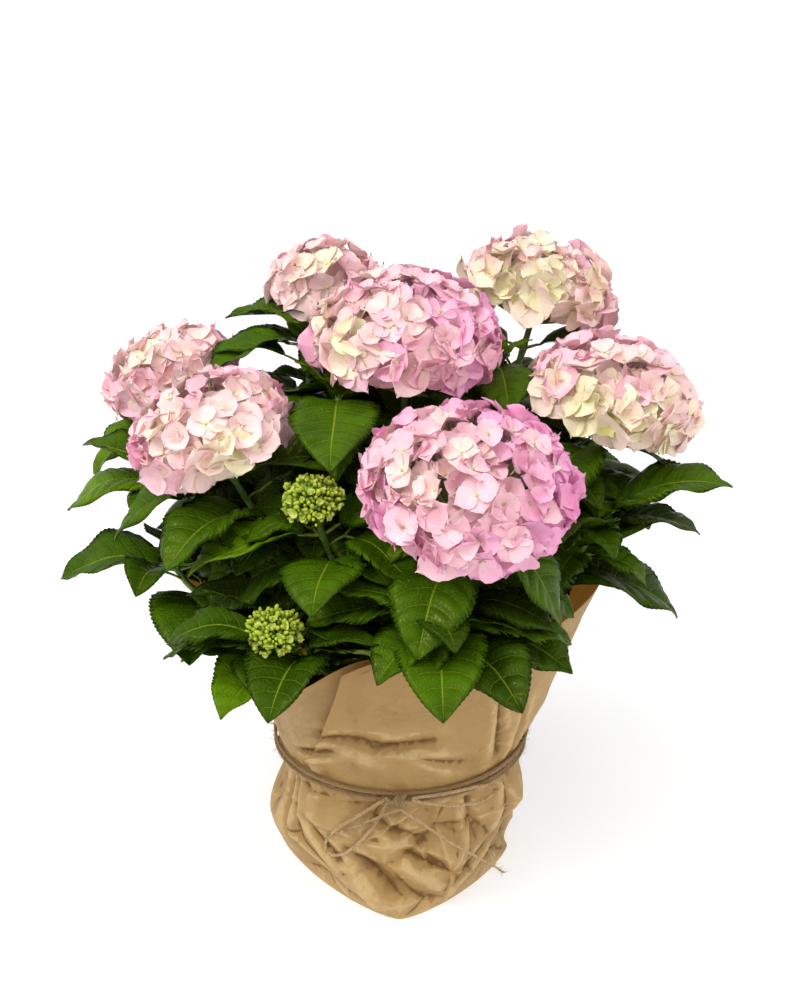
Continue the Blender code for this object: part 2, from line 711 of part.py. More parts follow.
def woody_crown(collection, finish):
    """The short foot that all stems rise from: a flat cut on the soil and a root flare."""
    bottom = SOIL_TOP + GAP
    profile = (
        (0, bottom + CROWN_HEIGHT),
        (CROWN_TOP_RADIUS, bottom + CROWN_HEIGHT),
        (CROWN_LOW_RADIUS, bottom + CROWN_FLARE_HEIGHT),
        (CROWN_FLARE_RADIUS, bottom),
        (0, bottom),
    )
    bm = turned("woody_crown", profile, CROWN_STEPS, collection)
    return object_of(bm, "woody_crown", collection, finish)


def tries(leaf):
    """The leaf as grown, then lifted, turned or shortened, until it fits between the others."""
    for size in LEAF_SIZES:
        for lift, turn in LEAF_TRIES:
            yield leaf._replace(
                rise=leaf.rise + math.radians(lift),
                heading=leaf.heading + math.radians(turn),
                length=leaf.length * size,
            )


def hangs_low(leaf):
    """True where the leaf's tip would hang down in front of the paper."""
    tip = leaf_frame(leaf, 1)[0]
    rim_radius = rim_at(math.atan2(tip.y, tip.x))[1]
    return tip.z < LOWEST_TIP and tip.xy.length > rim_radius


def probe(leaf, collection, start=0.0):
    """A search tree of the leaf with its clearance round it."""
    solid = leaf_solid(leaf, "probe", collection, None, LEAF_CLEARANCE, start)
    tree = tree_of(solid)
    bpy.data.objects.remove(solid)
    return tree


def placed_leaf(grown, owner, barriers, blades, collection, finish):
    """The first try at a leaf that clears every other shoot, stem, head and the wrap, and
    whose blade clears those already on its own shoot. Blades gains its tree."""
    for leaf in tries(grown):
        if hangs_low(leaf):
            continue
        whole = probe(leaf, collection)
        if any(whole.overlap(tree) for name, tree in barriers if name != owner):
            continue
        blade = probe(leaf, collection, start=BLADE_START)
        if any(blade.overlap(tree) for tree in blades):
            continue
        blades.append(blade)
        return leaf_solid(leaf, owner + "_leaf", collection, finish)
    return None


def plant(collection, finishes, wrap):
    """Crown, bare stems and the fused shoots."""
    woody_crown(collection, finishes["bark"])
    seats = stem_seats()
    paths = {shoot.name: shoot_path(shoot, seats[shoot.name]) for shoot in SHOOTS}
    graph = bpy.context.evaluated_depsgraph_get()
    wrap_mesh = wrap.evaluated_get(graph).to_mesh()
    faces = [p.vertices for p in wrap_mesh.polygons]
    barriers = [("wrap", BVHTree.FromPolygons([v.co for v in wrap_mesh.vertices], faces))]
    for shoot in SHOOTS:
        stem = bare_stem(shoot, paths[shoot.name], collection, finishes["bark"])
        barriers.append(("stem", tree_of(stem)))
    pieces = {}
    for shoot in SHOOTS:
        stalk = twig(shoot, paths[shoot.name], collection, finishes["leaf"])
        bloom = bloom_pieces(shoot, collection, finishes["bud" if shoot.kind == "bud" else "bloom"])
        barriers.append((shoot.name, tree_of(stalk)))
        barriers += [("head", tree_of(piece)) for piece in bloom]
        pieces[shoot.name] = [stalk] + bloom
    blades = {shoot.name: [] for shoot in SHOOTS}
    for pair in range(LEAF_PAIRS):
        for shoot in SHOOTS:
            name = shoot.name
            for grown in leaf_pair(shoot, paths[name], pair):
                leaf = placed_leaf(grown, name, barriers, blades[name], collection, finishes["leaf"])
                if leaf:
                    barriers.append((name, tree_of(leaf)))
                    pieces[name].append(leaf)
    for shoot in SHOOTS:
        fused("shoot_" + shoot.name, pieces[shoot.name], collection)


def stand_together(collection):
    """Parents every part to one empty at the origin, to move the whole plant by."""
    root = bpy.data.objects.new("hydrangea_origin", None)
    for part in list(collection.objects):
        part.parent = root
    collection.objects.link(root)


def main():
    clear_scene()
    parts = new_collection("hydrangea_shrub")
    finishes = {
        "paper": material("kraft_paper", (0.47, 0.31, 0.15), 0.75),
        "pot": material("pot_plastic", (0.16, 0.08, 0.05), 0.5),
        "soil": material("soil", (0.05, 0.035, 0.025), 0.95),
        "twine": material("jute", (0.36, 0.24, 0.12), 0.9),
        "bark": material("bark", (0.22, 0.24, 0.08), 0.7),
        "leaf": material("leaf", (0.04, 0.13, 0.02), 0.4),
        "bloom": material("bloom", (0.80, 0.38, 0.50), 0.55),
        "bud": material("bud", (0.35, 0.45, 0.05), 0.5),
    }
    wrap = paper_wrap(parts, finishes["paper"])
    pot(parts, finishes["pot"])
    soil(parts, finishes["soil"])
    for number, height in enumerate(TWINE_STRANDS, 1):
        twine_band(f"twine_strand_{number}", height, parts, finishes["twine"])
    twine_knot(parts, finishes["twine"])
    twine_loop("twine_loop_left", -0.048, 0.060, 0.013, parts, finishes["twine"])
    twine_loop("twine_loop_right", 0.070, 0.010, 0.009, parts, finishes["twine"])
    twine_tail("twine_tail_right", 0.085, 0.086, 0.012, parts, finishes["twine"])
    bpy.context.view_layer.update()
    plant(parts, finishes, wrap)
    stand_together(parts)


main()
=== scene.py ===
import math
import random
from collections import namedtuple

import bmesh
import bpy
import numpy as np
from bpy.props import FloatProperty, FloatVectorProperty, IntProperty, PointerProperty
from mathutils import Matrix, Vector, kdtree, noise
from mathutils.geometry import delaunay_2d_cdt


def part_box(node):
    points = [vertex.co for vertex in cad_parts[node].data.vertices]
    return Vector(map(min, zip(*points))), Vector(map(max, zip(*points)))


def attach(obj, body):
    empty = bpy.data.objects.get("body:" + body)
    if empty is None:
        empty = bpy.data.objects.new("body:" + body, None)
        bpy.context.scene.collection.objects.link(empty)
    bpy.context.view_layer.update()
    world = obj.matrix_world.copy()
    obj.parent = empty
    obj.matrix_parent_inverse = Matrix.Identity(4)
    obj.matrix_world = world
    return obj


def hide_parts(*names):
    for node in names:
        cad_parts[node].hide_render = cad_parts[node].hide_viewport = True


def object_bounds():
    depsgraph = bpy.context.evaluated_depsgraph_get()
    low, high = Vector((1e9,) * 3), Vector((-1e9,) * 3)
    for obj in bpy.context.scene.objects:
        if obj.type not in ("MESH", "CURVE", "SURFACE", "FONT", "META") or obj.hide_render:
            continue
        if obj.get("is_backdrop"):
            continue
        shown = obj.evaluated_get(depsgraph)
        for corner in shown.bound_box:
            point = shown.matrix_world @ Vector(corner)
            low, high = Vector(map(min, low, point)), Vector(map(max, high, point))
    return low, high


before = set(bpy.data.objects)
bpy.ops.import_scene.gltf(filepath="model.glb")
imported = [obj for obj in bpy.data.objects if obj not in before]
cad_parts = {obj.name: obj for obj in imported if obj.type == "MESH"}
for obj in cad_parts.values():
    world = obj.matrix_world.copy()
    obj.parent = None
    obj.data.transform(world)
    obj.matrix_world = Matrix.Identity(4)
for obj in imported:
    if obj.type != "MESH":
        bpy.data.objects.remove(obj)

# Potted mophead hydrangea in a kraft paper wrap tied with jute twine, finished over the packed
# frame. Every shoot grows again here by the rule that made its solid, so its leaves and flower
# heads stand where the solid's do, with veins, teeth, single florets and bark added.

bl_info = {
    "name": "Potted Hydrangea",
    "version": (1, 0, 0),
    "blender": (4, 5, 0),
    "location": "3D View > Sidebar > Hydrangea",
    "description": "Builds a potted hydrangea in a tied kraft paper wrap, piece by piece",
    "category": "Add Mesh",
}

CAD_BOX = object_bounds()
UP = Vector((0, 0, 1))
GAP = 0.0003  # between solids that touch
GOLDEN_ANGLE = math.pi * (3 - math.sqrt(5))

# --- sizes that the solids share
SOIL_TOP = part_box("potting_soil")[1].z
WAIST_HEIGHT = 0.119
WAIST_RADIUS = 0.1025
# Sections of the paper up to the twine: height, half width, half depth and squareness.
WRAP_ROWS = (
    (0.000, 0.0940, 0.1060, 1.35),
    (0.012, 0.0990, 0.1090, 1.45),
    (0.048, 0.1060, 0.1110, 1.75),
    (0.086, 0.1065, 0.1100, 1.95),
    (WAIST_HEIGHT - 0.007, WAIST_RADIUS + 0.0020, WAIST_RADIUS + 0.0030, 2.00),
    (WAIST_HEIGHT, WAIST_RADIUS, WAIST_RADIUS + 0.0010, 2.00),
)
# The folded ear at the left: direction, height, reach, half its height and sharpness.
EAR = (-168, 0.040, 0.011, 0.045, 8)
COLLAR_ROWS = 5
WAIST_ROW = len(WRAP_ROWS) - 1
LAST_ROW = WAIST_ROW + COLLAR_ROWS
RIM_HEIGHT = 0.238
RIM_RADIUS = 0.124
# Where the rim swells: direction, how much higher and wider it is there, and sharpness.
RIM_SWELLS = (
    (8, 0.028, 0.044, 6),
    (92, 0.012, 0.030, 6),
    (163, 0.026, 0.072, 8),
    (-92, 0.014, -0.006, 8),
    (-138, -0.036, 0.004, 14),
)
COLLAR_BOW = 1.05
COLLAR_BOW_SIDE = 0.25
TWINE_RADIUS = 0.0016
KNOT_ANGLE = math.radians(-90)
KNOT_RADIUS = 0.0055
KNOT_SHAPE = (1.2, 0.8, 0.9)
STRAND_PROUD = TWINE_RADIUS + 2 * GAP
KNOT_PROUD = STRAND_PROUD + TWINE_RADIUS + GAP + KNOT_RADIUS * KNOT_SHAPE[1]
LOOP_PROUD = STRAND_PROUD + 2 * TWINE_RADIUS + GAP
CROWN_HEIGHT = 0.022
CROWN_TOP_RADIUS = 0.036
CROWN_FLARE_RADIUS = 0.043
STEM_RING_RADIUS = 0.030
STEM_RADIUS = 0.0042
STEM_FOOT = 0.006
TWIG_RADIUS = 0.0024
STEM_SHARE = 0.32
PATH_STEPS = 12
SHOOT_RISE = 0.38
SHOOT_LEAN = 0.26
SHOOT_AIM = 0.34
TIP_TILT = 2.2
PETIOLE_SHARE = 0.14
PETIOLE_RADIUS = 0.0017
ROOT_SUNK = 0.0008
LEAF_FOLD = math.radians(12)
LEAF_PAIRS = 4
LOW_PAIR = 0.42
TOP_PAIR = 0.86
TOP_PAIR_TUFT = 0.985
LOW_RISE = 24
TOP_BEND = 58
LOW_BEND = 86
TOP_LEAF = 0.9
HEADING_VARIES = 12
RISE_VARIES = 8
BEND_VARIES = 12
ROLL_VARIES = 18
LENGTH_VARIES = 0.08
# How a leaf without room is lifted and turned, in degrees, and then shortened.
LEAF_TRIES = (
    *((lift, 0) for lift in (0, 12, -12, 24)),
    *((lift, turn) for turn in (16, -16, 32, -32, 48, -48, 64, -64) for lift in (0, 14, -14)),
)
LEAF_SIZES = (1.0, 0.86, 0.72, 0.60)
TIP_MATCH = 0.00015  # how near a leaf's tip its solid has a point
HEAD_INSET = 0.004
HEAD_RISE = 0.37
HEAD_DROP = 0.24
HEAD_REACH = math.radians(106)

# A shoot: the middle of its flower head or tuft, the head's width, what it carries, how far
# its top leaf pair is turned and how steeply it rises in degrees, and its largest leaf.
Shoot = namedtuple("Shoot", "name tip head kind turn rise leaf")
SHOOTS = [Shoot(*row) for row in (
    ("centre_leafy", (-0.048, -0.005, 0.420), 0.0, "tuft", -80, -5, 0.125),
    ("front", (0.050, -0.120, 0.389), 0.166, "bloom", -15, 4, 0.125),
    ("middle", (0.004, 0.010, 0.460), 0.158, "bloom", -20, 4, 0.135),
    ("back_left", (-0.064, 0.130, 0.470), 0.106, "bloom", 4, 48, 0.110),
    ("back_right", (0.115, 0.110, 0.469), 0.136, "bloom", -15, 24, 0.115),
    ("right", (0.168, 0.000, 0.414), 0.142, "bloom", 8, 14, 0.118),
    ("left_back", (-0.189, 0.085, 0.403), 0.120, "bloom", 8, 8, 0.112),
    ("left", (-0.143, -0.050, 0.406), 0.130, "bloom", -8, 6, 0.125),
    ("rear", (0.020, 0.195, 0.395), 0.135, "bloom", 30, 4, 0.120),
    ("upper_bud", (-0.064, -0.100, 0.372), 0.050, "bud", 25, 10, 0.120),
    ("lower_bud", (-0.092, -0.150, 0.288), 0.046, "bud", -6, 24, 0.110),
    ("front_leafy", (0.031, -0.128, 0.290), 0.0, "tuft", 0, 16, 0.125),
    ("right_leafy", (0.157, -0.035, 0.328), 0.0, "tuft", -10, 48, 0.132),
    ("right_high_leafy", (0.140, 0.040, 0.360), 0.0, "tuft", 20, 30, 0.110),
    ("left_leafy", (-0.180, -0.020, 0.280), 0.0, "tuft", 0, 20, 0.118),
    ("left_high_leafy", (-0.178, 0.020, 0.345), 0.0, "tuft", 6, 24, 0.112),
    ("left_low_leafy", (-0.088, -0.112, 0.252), 0.0, "tuft", 62, 12, 0.112),
    ("inner_left_leafy", (-0.080, 0.075, 0.440), 0.0, "tuft", 0, 18, 0.112),
    ("inner_right_leafy", (0.078, 0.050, 0.428), 0.0, "tuft", 70, 22, 0.115),
    ("rear_left_leafy", (-0.130, 0.160, 0.320), 0.0, "tuft", 45, 24, 0.125),
    ("rear_right_leafy", (0.140, 0.150, 0.325), 0.0, "tuft", 50, 24, 0.125),
)]
SHOOT_NODES = tuple("shoot_" + shoot.name for shoot in SHOOTS)
STEM_NODES = tuple("stem_" + shoot.name for shoot in SHOOTS)
Leaf = namedtuple("Leaf", "base heading rise bend length roll")  # angles in radians

# How each mophead's colour runs: the direction of its palest part, the tone there and the
# tone opposite, both as places in SEPAL_TONES.
Blush = namedtuple("Blush", "heart palest deepest")
BLUSHES = {
    "front": Blush((-0.45, -0.60, 0.62), 3.4, -0.6),
    "middle": Blush((-0.62, -0.66, 0.42), 3.8, 0.6),
    "back_left": Blush((0.55, -0.60, 0.65), 3.8, 2.5),
    "back_right": Blush((-0.30, -0.85, 0.25), 5.0, 2.5),
    "right": Blush((-0.02, -0.95, -0.22), 5.2, 2.3),
    "left_back": Blush((-0.10, -0.40, 0.85), 3.2, 2.3),
    "left": Blush((0.25, -0.90, 0.00), 3.8, 2.4),
    "rear": Blush((0.10, 0.50, 0.60), 3.6, 1.0),
}
# Sepal tones from deep pink to lime: the colour at the floret's eye and at its rim.
SEPAL_TONES = {
    "deep_pink": ((0.84, 0.52, 0.62), (0.80, 0.35, 0.56)),
    "pink": ((0.85, 0.57, 0.61), (0.83, 0.41, 0.56)),
    "pale_pink": ((0.88, 0.65, 0.62), (0.87, 0.53, 0.59)),
    "blush": ((0.88, 0.72, 0.58), (0.88, 0.63, 0.60)),
    "cream": ((0.83, 0.75, 0.48), (0.88, 0.73, 0.57)),
    "green_cream": ((0.68, 0.70, 0.30), (0.83, 0.78, 0.50)),
    "lime": ((0.50, 0.58, 0.12), (0.70, 0.71, 0.27)),
}


# --- settings


COLOUR = {"size": 3, "subtype": "COLOR", "min": 0, "max": 1}


class WrapSettings(bpy.types.PropertyGroup):
    thickness: FloatProperty(
        name="Paper thickness", description="Thickness of the kraft sheet",
        default=0.0007, min=0.0003, unit="LENGTH",
    )
    crease_depth: FloatProperty(
        name="Crease depth", description="How far the crumpled body's facets stand in and out",
        default=0.0115, min=0, unit="LENGTH",
    )
    collar_crease: FloatProperty(
        name="Collar crease", description="How far the collar's folds stand in and out",
        default=0.0036, min=0, unit="LENGTH",
    )
    pleat_depth: FloatProperty(
        name="Pleat depth", description="Depth of the gathers beside the twine",
        default=0.0030, min=0, unit="LENGTH",
    )
    colour: FloatVectorProperty(
        name="Kraft colour", description="Outer face of the paper",
        default=(0.405, 0.243, 0.082), **COLOUR,
    )
    # Deeper orange than the outside, and given a glow: painted light for light bounced inside the wrap
    # and coming through it.
    inner_colour: FloatVectorProperty(
        name="Inner colour", description="Inner face of the paper, warmed by its own light",
        default=(0.42, 0.190, 0.030), **COLOUR,
    )


class TwineSettings(bpy.types.PropertyGroup):
    plies: IntProperty(
        name="Plies", description="Yarns twisted into the twine", default=3, min=2, max=4
    )
    pitch: FloatProperty(
        name="Lay", description="Length of one full twist",
        default=0.0090, min=0.003, unit="LENGTH",
    )
    hairs: IntProperty(
        name="Loose fibres", description="Fibres that stand off the twine", default=900, min=0
    )
    colour: FloatVectorProperty(
        name="Jute colour", description="Colour of the twine",
        default=(0.37, 0.215, 0.082), **COLOUR,
    )
    # Lighter than the bands as painted light on the bow and tails, which stand out from the paper.
    lit_loose_colour: FloatVectorProperty(
        name="Loose ends", description="Colour of the bow and tails, less worn than the bands",
        default=(0.65, 0.43, 0.20), **COLOUR,
    )


class PottingSettings(bpy.types.PropertyGroup):
    pot_colour: FloatVectorProperty(
        name="Pot colour", description="Colour of the nursery pot",
        default=(0.16, 0.08, 0.05), **COLOUR,
    )
    soil_colour: FloatVectorProperty(
        name="Soil colour", description="Colour of the moist potting soil",
        default=(0.035, 0.022, 0.014), **COLOUR,
    )
    crumbs: IntProperty(
        name="Crumbs", description="Loose crumbs of soil on the surface", default=420, min=0
    )


class StemSettings(bpy.types.PropertyGroup):
    sides: IntProperty(name="Sides", description="Faces round each stem", default=10, min=5, max=24)
    bark_colour: FloatVectorProperty(
        name="Bark colour", description="Colour of the woody stems",
        default=(0.17, 0.12, 0.055), **COLOUR,
    )
    twig_colour: FloatVectorProperty(
        name="Twig colour", description="Colour of the green shoots and leaf stalks",
        default=(0.13, 0.24, 0.03), **COLOUR,
    )


class LeafSettings(bpy.types.PropertyGroup):
    width: FloatProperty(
        name="Width", description="Blade width as a share of its length",
        default=0.72, min=0.3, max=1, subtype="FACTOR",
    )
    vein_pairs: IntProperty(
        name="Vein pairs", description="Side veins on each half of a blade", default=7, min=3, max=12
    )
    quilting: FloatProperty(
        name="Quilting", description="How far the blade swells up between its veins",
        default=0.0026, min=0, unit="LENGTH",
    )
    thickness: FloatProperty(
        name="Thickness", description="Thickness of the blade at its middle",
        default=0.0005, min=0.0001, unit="LENGTH",
    )
    vein_colour: FloatVectorProperty(
        name="Vein colour", description="Colour of the midrib and veins",
        default=(0.22, 0.31, 0.016), **COLOUR,
    )
    deep_colour: FloatVectorProperty(
        name="Deep green", description="Colour of the older, shaded leaves",
        default=(0.018, 0.044, 0.0006), **COLOUR,
    )
    mid_colour: FloatVectorProperty(
        name="Mid green", description="Colour of most leaves",
        default=(0.029, 0.069, 0.0005), **COLOUR,
    )
    fresh_colour: FloatVectorProperty(
        name="Fresh green", description="Colour of the youngest leaves",
        default=(0.062, 0.124, 0.0010), **COLOUR,
    )


class FlowerSettings(bpy.types.PropertyGroup):
    floret_width: FloatProperty(
        name="Floret width", description="Across a floret's four sepals",
        default=0.034, min=0.01, unit="LENGTH",
    )
    florets: IntProperty(
        name="Florets", description="Florets on a mophead 15 cm across", default=128, min=10
    )
    eye_colour: FloatVectorProperty(
        name="Eye colour", description="Colour of the tiny true flower in each floret",
        default=(0.62, 0.62, 0.20), **COLOUR,
    )
    bud_colour: FloatVectorProperty(
        name="Bud colour", description="Colour of the unopened heads",
        default=(0.42, 0.52, 0.030), **COLOUR,
    )
    # The darker colour is painted shade on the buds deep in the head, and the bud stalks' own colour.
    bud_dark_colour: FloatVectorProperty(
        name="Dark bud colour", description="Colour of the buds deeper in the head",
        default=(0.24, 0.36, 0.02), **COLOUR,
    )


class StageSettings(bpy.types.PropertyGroup):
    floor: FloatProperty(
        name="Floor", description="Side of the pale floor", default=60.0, min=1, unit="LENGTH"
    )
    floor_colour: FloatVectorProperty(
        name="Floor colour", description="Colour of the floor",
        default=(0.52, 0.52, 0.52), **COLOUR,
    )
    floor_glow: FloatProperty(
        name="Floor glow", description="Light the floor gives by itself, which keeps it white",
        default=0.58, min=0,
    )
    sky: FloatProperty(name="Sky light", description="Strength of the even light", default=0.52, min=0)
    ceiling: FloatProperty(
        name="Ceiling light", description="Strength of the soft light overhead", default=1.9, min=0
    )
    key: FloatProperty(
        name="Key light", description="Power of the soft light from the left",
        default=10, min=0, unit="POWER",
    )
    fill: FloatProperty(
        name="Fill light", description="Power of the light opposite",
        default=8, min=0, unit="POWER",
    )


SETTINGS = {
    "hydrangea_wrap": WrapSettings,
    "hydrangea_twine": TwineSettings,
    "hydrangea_potting": PottingSettings,
    "hydrangea_stems": StemSettings,
    "hydrangea_leaves": LeafSettings,
    "hydrangea_flowers": FlowerSettings,
    "hydrangea_stage": StageSettings,
}


# --- shader maths


class Wire:
    """An output socket. Arithmetic on it adds Math nodes to its tree."""

    def __init__(self, finish, socket):
        self.finish = finish
        self.socket = socket

    def math(self, operation, *values):
        inputs = dict(enumerate((self, *values)))
        return self.finish.node("ShaderNodeMath", {"operation": operation}, inputs)

    def __add__(self, other):
        return self.math("ADD", other)

    def __sub__(self, other):
        return self.math("SUBTRACT", other)

    def __rsub__(self, other):
        return (self * -1) + other

    def __mul__(self, other):
        return self.math("MULTIPLY", other)

    __radd__ = __add__
    __rmul__ = __mul__

    def absolute(self):
        return self.math("ABSOLUTE")

    def fraction(self):
        return self.math("FRACT")

    def beside(self, output):
        """Another output of the same node."""
        return Wire(self.finish, self.socket.node.outputs[output])

    def larger(self, other):
        return self.math("MAXIMUM", other)

    def smooth(self, low, high):
        """0 below low and 1 above high, or the other way round, smooth between."""
        settings = {"interpolation_type": "SMOOTHSTEP"}
        if low < high:
            ends = {1: low, 2: high, 3: 0.0, 4: 1.0}
        else:
            ends = {1: high, 2: low, 3: 1.0, 4: 0.0}
        return self.finish.node("ShaderNodeMapRange", settings, {0: self, **ends})


class Finish:
    """A material, and the nodes behind its Principled shader."""

    def __init__(self, name):
        self.material = bpy.data.materials.new(name)
        self.material.use_nodes = True
        self.tree = self.material.node_tree
        self.shader = self.tree.nodes["Principled BSDF"]

    def feed(self, socket, value):
        if isinstance(value, Wire):
            self.tree.links.new(value.socket, socket)
        elif socket.type == "RGBA" and len(value) == 3:
            socket.default_value = (*value, 1)
        else:
            socket.default_value = value

    def node(self, kind, settings=None, inputs=None, output=0):
        made = self.tree.nodes.new(kind)
        for setting, value in (settings or {}).items():
            setattr(made, setting, value)
        for socket, value in (inputs or {}).items():
            self.feed(made.inputs[socket], value)
        return Wire(self, made.outputs[output])

    def blend(self, share, first, second):
        """A colour between two, by share."""
        return self.node("ShaderNodeMix", {"data_type": "RGBA"}, {0: share, 6: first, 7: second}, 2)

    def place(self):
        """Object coordinates, in metres."""
        return self.node("ShaderNodeTexCoord", output="Object")

    def vector(self, operation, *values, output=0):
        """A Vector Math node on those values."""
        inputs = dict(enumerate(values))
        return self.node("ShaderNodeVectorMath", {"operation": operation}, inputs, output)

    def grain(self, scale, detail=2.0, roughness=0.5, vector=None, stretch=None):
        """Noise of that many waves to the metre, over the object or a given vector."""
        vector = vector or self.place()
        if stretch:
            vector = self.node("ShaderNodeMapping", None, {"Vector": vector, "Scale": stretch})
        inputs = {"Vector": vector, "Scale": scale, "Detail": detail, "Roughness": roughness}
        return self.node("ShaderNodeTexNoise", None, inputs, "Fac")

    def map(self, name):
        """Both coordinates of a UV map, apart."""
        vector = self.node("ShaderNodeUVMap", {"uv_map": name})
        split = self.node("ShaderNodeSeparateXYZ", None, {0: vector})
        return split, split.beside(1)

    def join(self, x, y):
        """A vector of two coordinates."""
        return self.node("ShaderNodeCombineXYZ", None, {0: x, 1: y})

    def bump(self, height, distance, strength):
        """A normal from a height, whose full rise is that distance in metres."""
        inputs = {"Height": height, "Distance": distance, "Strength": strength}
        return self.node("ShaderNodeBump", None, inputs)

    def shade(self, **sockets):
        """Feeds the shader: each name is a socket's, with underscores for spaces."""
        for name, value in sockets.items():
            self.feed(self.shader.inputs[name.replace("_", " ")], value)
        return self.material


def toned(colour, shares):
    """A colour times one share, or times a share for each channel."""
    return tuple(np.minimum(1, np.multiply(tuple(colour), shares)))


LEAF_SHEEN = (0.95, 1.0, 0.28, 1)  # tint of a blade's gloss


def leaf_finish(name, colour, settings):
    """A glossy green blade: its side veins, midrib and fine net follow the blade's own map."""
    finish = Finish(name)
    along, across = finish.map("blade")
    off_rib = (across * 2 - 1).absolute()
    beside = ((along * settings.vein_pairs + 0.5).fraction() - 0.5).absolute()
    side_vein = beside.smooth(0.036, 0.008) * off_rib.smooth(1.0, 0.80)
    midrib = off_rib.smooth(0.036, 0.010)
    cells = {
        "Vector": finish.join(along * settings.vein_pairs * 3.4, across * 15),
        "Scale": 1.0,
        "Randomness": 0.9,
    }
    features = {"feature": "DISTANCE_TO_EDGE", "voronoi_dimensions": "2D"}
    net = finish.node("ShaderNodeTexVoronoi", features, cells, "Distance").smooth(0.14, 0.02)
    mottle = finish.grain(38, 4).smooth(0.35, 0.68)
    tone = finish.blend(mottle * 0.5 + beside * 0.4, colour, toned(colour, 2.25))
    tone = finish.blend(net * 0.07, tone, settings.vein_colour)
    tone = finish.blend((side_vein * 0.50).larger(midrib * 0.80), tone, settings.vein_colour)
    height = (side_vein + midrib) * -0.6 - net * 0.45
    return finish.shade(
        Base_Color=tone,
        Roughness=mottle * 0.14 + 0.26,
        Normal=finish.bump(height, 0.0009, 0.9),
        Specular_IOR_Level=0.25,
        Specular_Tint=LEAF_SHEEN,
    )


SEPAL_STREAK = (0.95, 0.84, 0.92)  # its streaks, of its rim's colour
SEPAL_PAINTED_GLOW = 0.05  # painted glow that lifts the shade, for light that comes through


def sepal_finish(name, eye, rim):
    """A satin sepal: paler at the eye, with fine streaks that fan to its rim, and a faint painted glow
    in its rim's colour.
    """
    finish = Finish(name)
    across, along = finish.map("sepal")
    streaks = finish.grain(1.0, 2, vector=finish.join(across * 26, along * 2.2)).smooth(0.40, 0.66)
    mottle = finish.grain(70, 2).smooth(0.38, 0.66)
    tone = finish.blend(along.smooth(0.0, 0.60), eye, rim)
    tone = finish.blend(streaks * 0.25 + mottle * 0.30, tone, toned(rim, SEPAL_STREAK))
    return finish.shade(
        Base_Color=tone,
        Roughness=mottle * 0.12 + 0.48,
        Normal=finish.bump(streaks, 0.00025, 0.5),
        Sheen_Weight=0.12,
        Emission_Color=(*rim, 1),
        Emission_Strength=SEPAL_PAINTED_GLOW,
    )


def satin_finish(name, colour, shares):
    """Plain smooth plant tissue or plastic, unevenly darker down to those shares."""
    finish = Finish(name)
    mottle = finish.grain(260, 3).smooth(0.36, 0.68)
    return finish.shade(
        Base_Color=finish.blend(mottle, colour, toned(colour, shares)),
        Roughness=mottle * 0.12 + 0.45,
        Normal=finish.bump(mottle, 0.0002, 0.5),
    )


CORK = (0.42, 0.34, 0.20)


def bark_finish(name, colour):
    """Greyish brown bark with long cracks and pale corky dots."""
    finish = Finish(name)
    cracks = finish.grain(420, 5, stretch=(1, 1, 0.16)).smooth(0.40, 0.62)
    dots = finish.grain(900, 1).smooth(0.66, 0.74)
    tone = finish.blend(cracks, toned(colour, 0.45), colour)
    tone = finish.blend(dots * 0.7, tone, CORK)
    return finish.shade(
        Base_Color=tone,
        Roughness=0.82,
        Normal=finish.bump(cracks + dots * 0.5, 0.0006, 0.8),
    )


# The paper's painted shade in a valley and painted highlight on a ridge, in shares of its own colour.
VALLEY_SHADE = (0.34, 0.24, 0.07)
RIDGE_HIGHLIGHT = (1.55, 1.80, 2.50)
# How the sheet's attributes paint shade into its hollows and folds and a highlight onto its ridges:
# the level where a tone sets in, the level where it is full, the most it takes over, and the tone.
FOLD_SHADING = (
    ("hollow", 0.50, 0.00, 0.62, VALLEY_SHADE),
    ("hollow", 0.50, 1.00, 0.34, RIDGE_HIGHLIGHT),
    ("fold", 0.36, 0.05, 0.75, VALLEY_SHADE),
    ("fold", 0.64, 0.95, 0.50, RIDGE_HIGHLIGHT),
)


def tilted_cells(finish, vector, scale):
    """Heights of flat patches that each lean their own way, as small facets of a sheet."""
    cells = finish.node("ShaderNodeTexVoronoi", None, {"Vector": vector, "Scale": scale}, "Color")
    lean = finish.vector("SUBTRACT", cells, (0.5, 0.5, 0.5))
    off = finish.vector("SUBTRACT", vector, cells.beside("Position"))
    return finish.vector("DOT_PRODUCT", off, lean, output="Value")


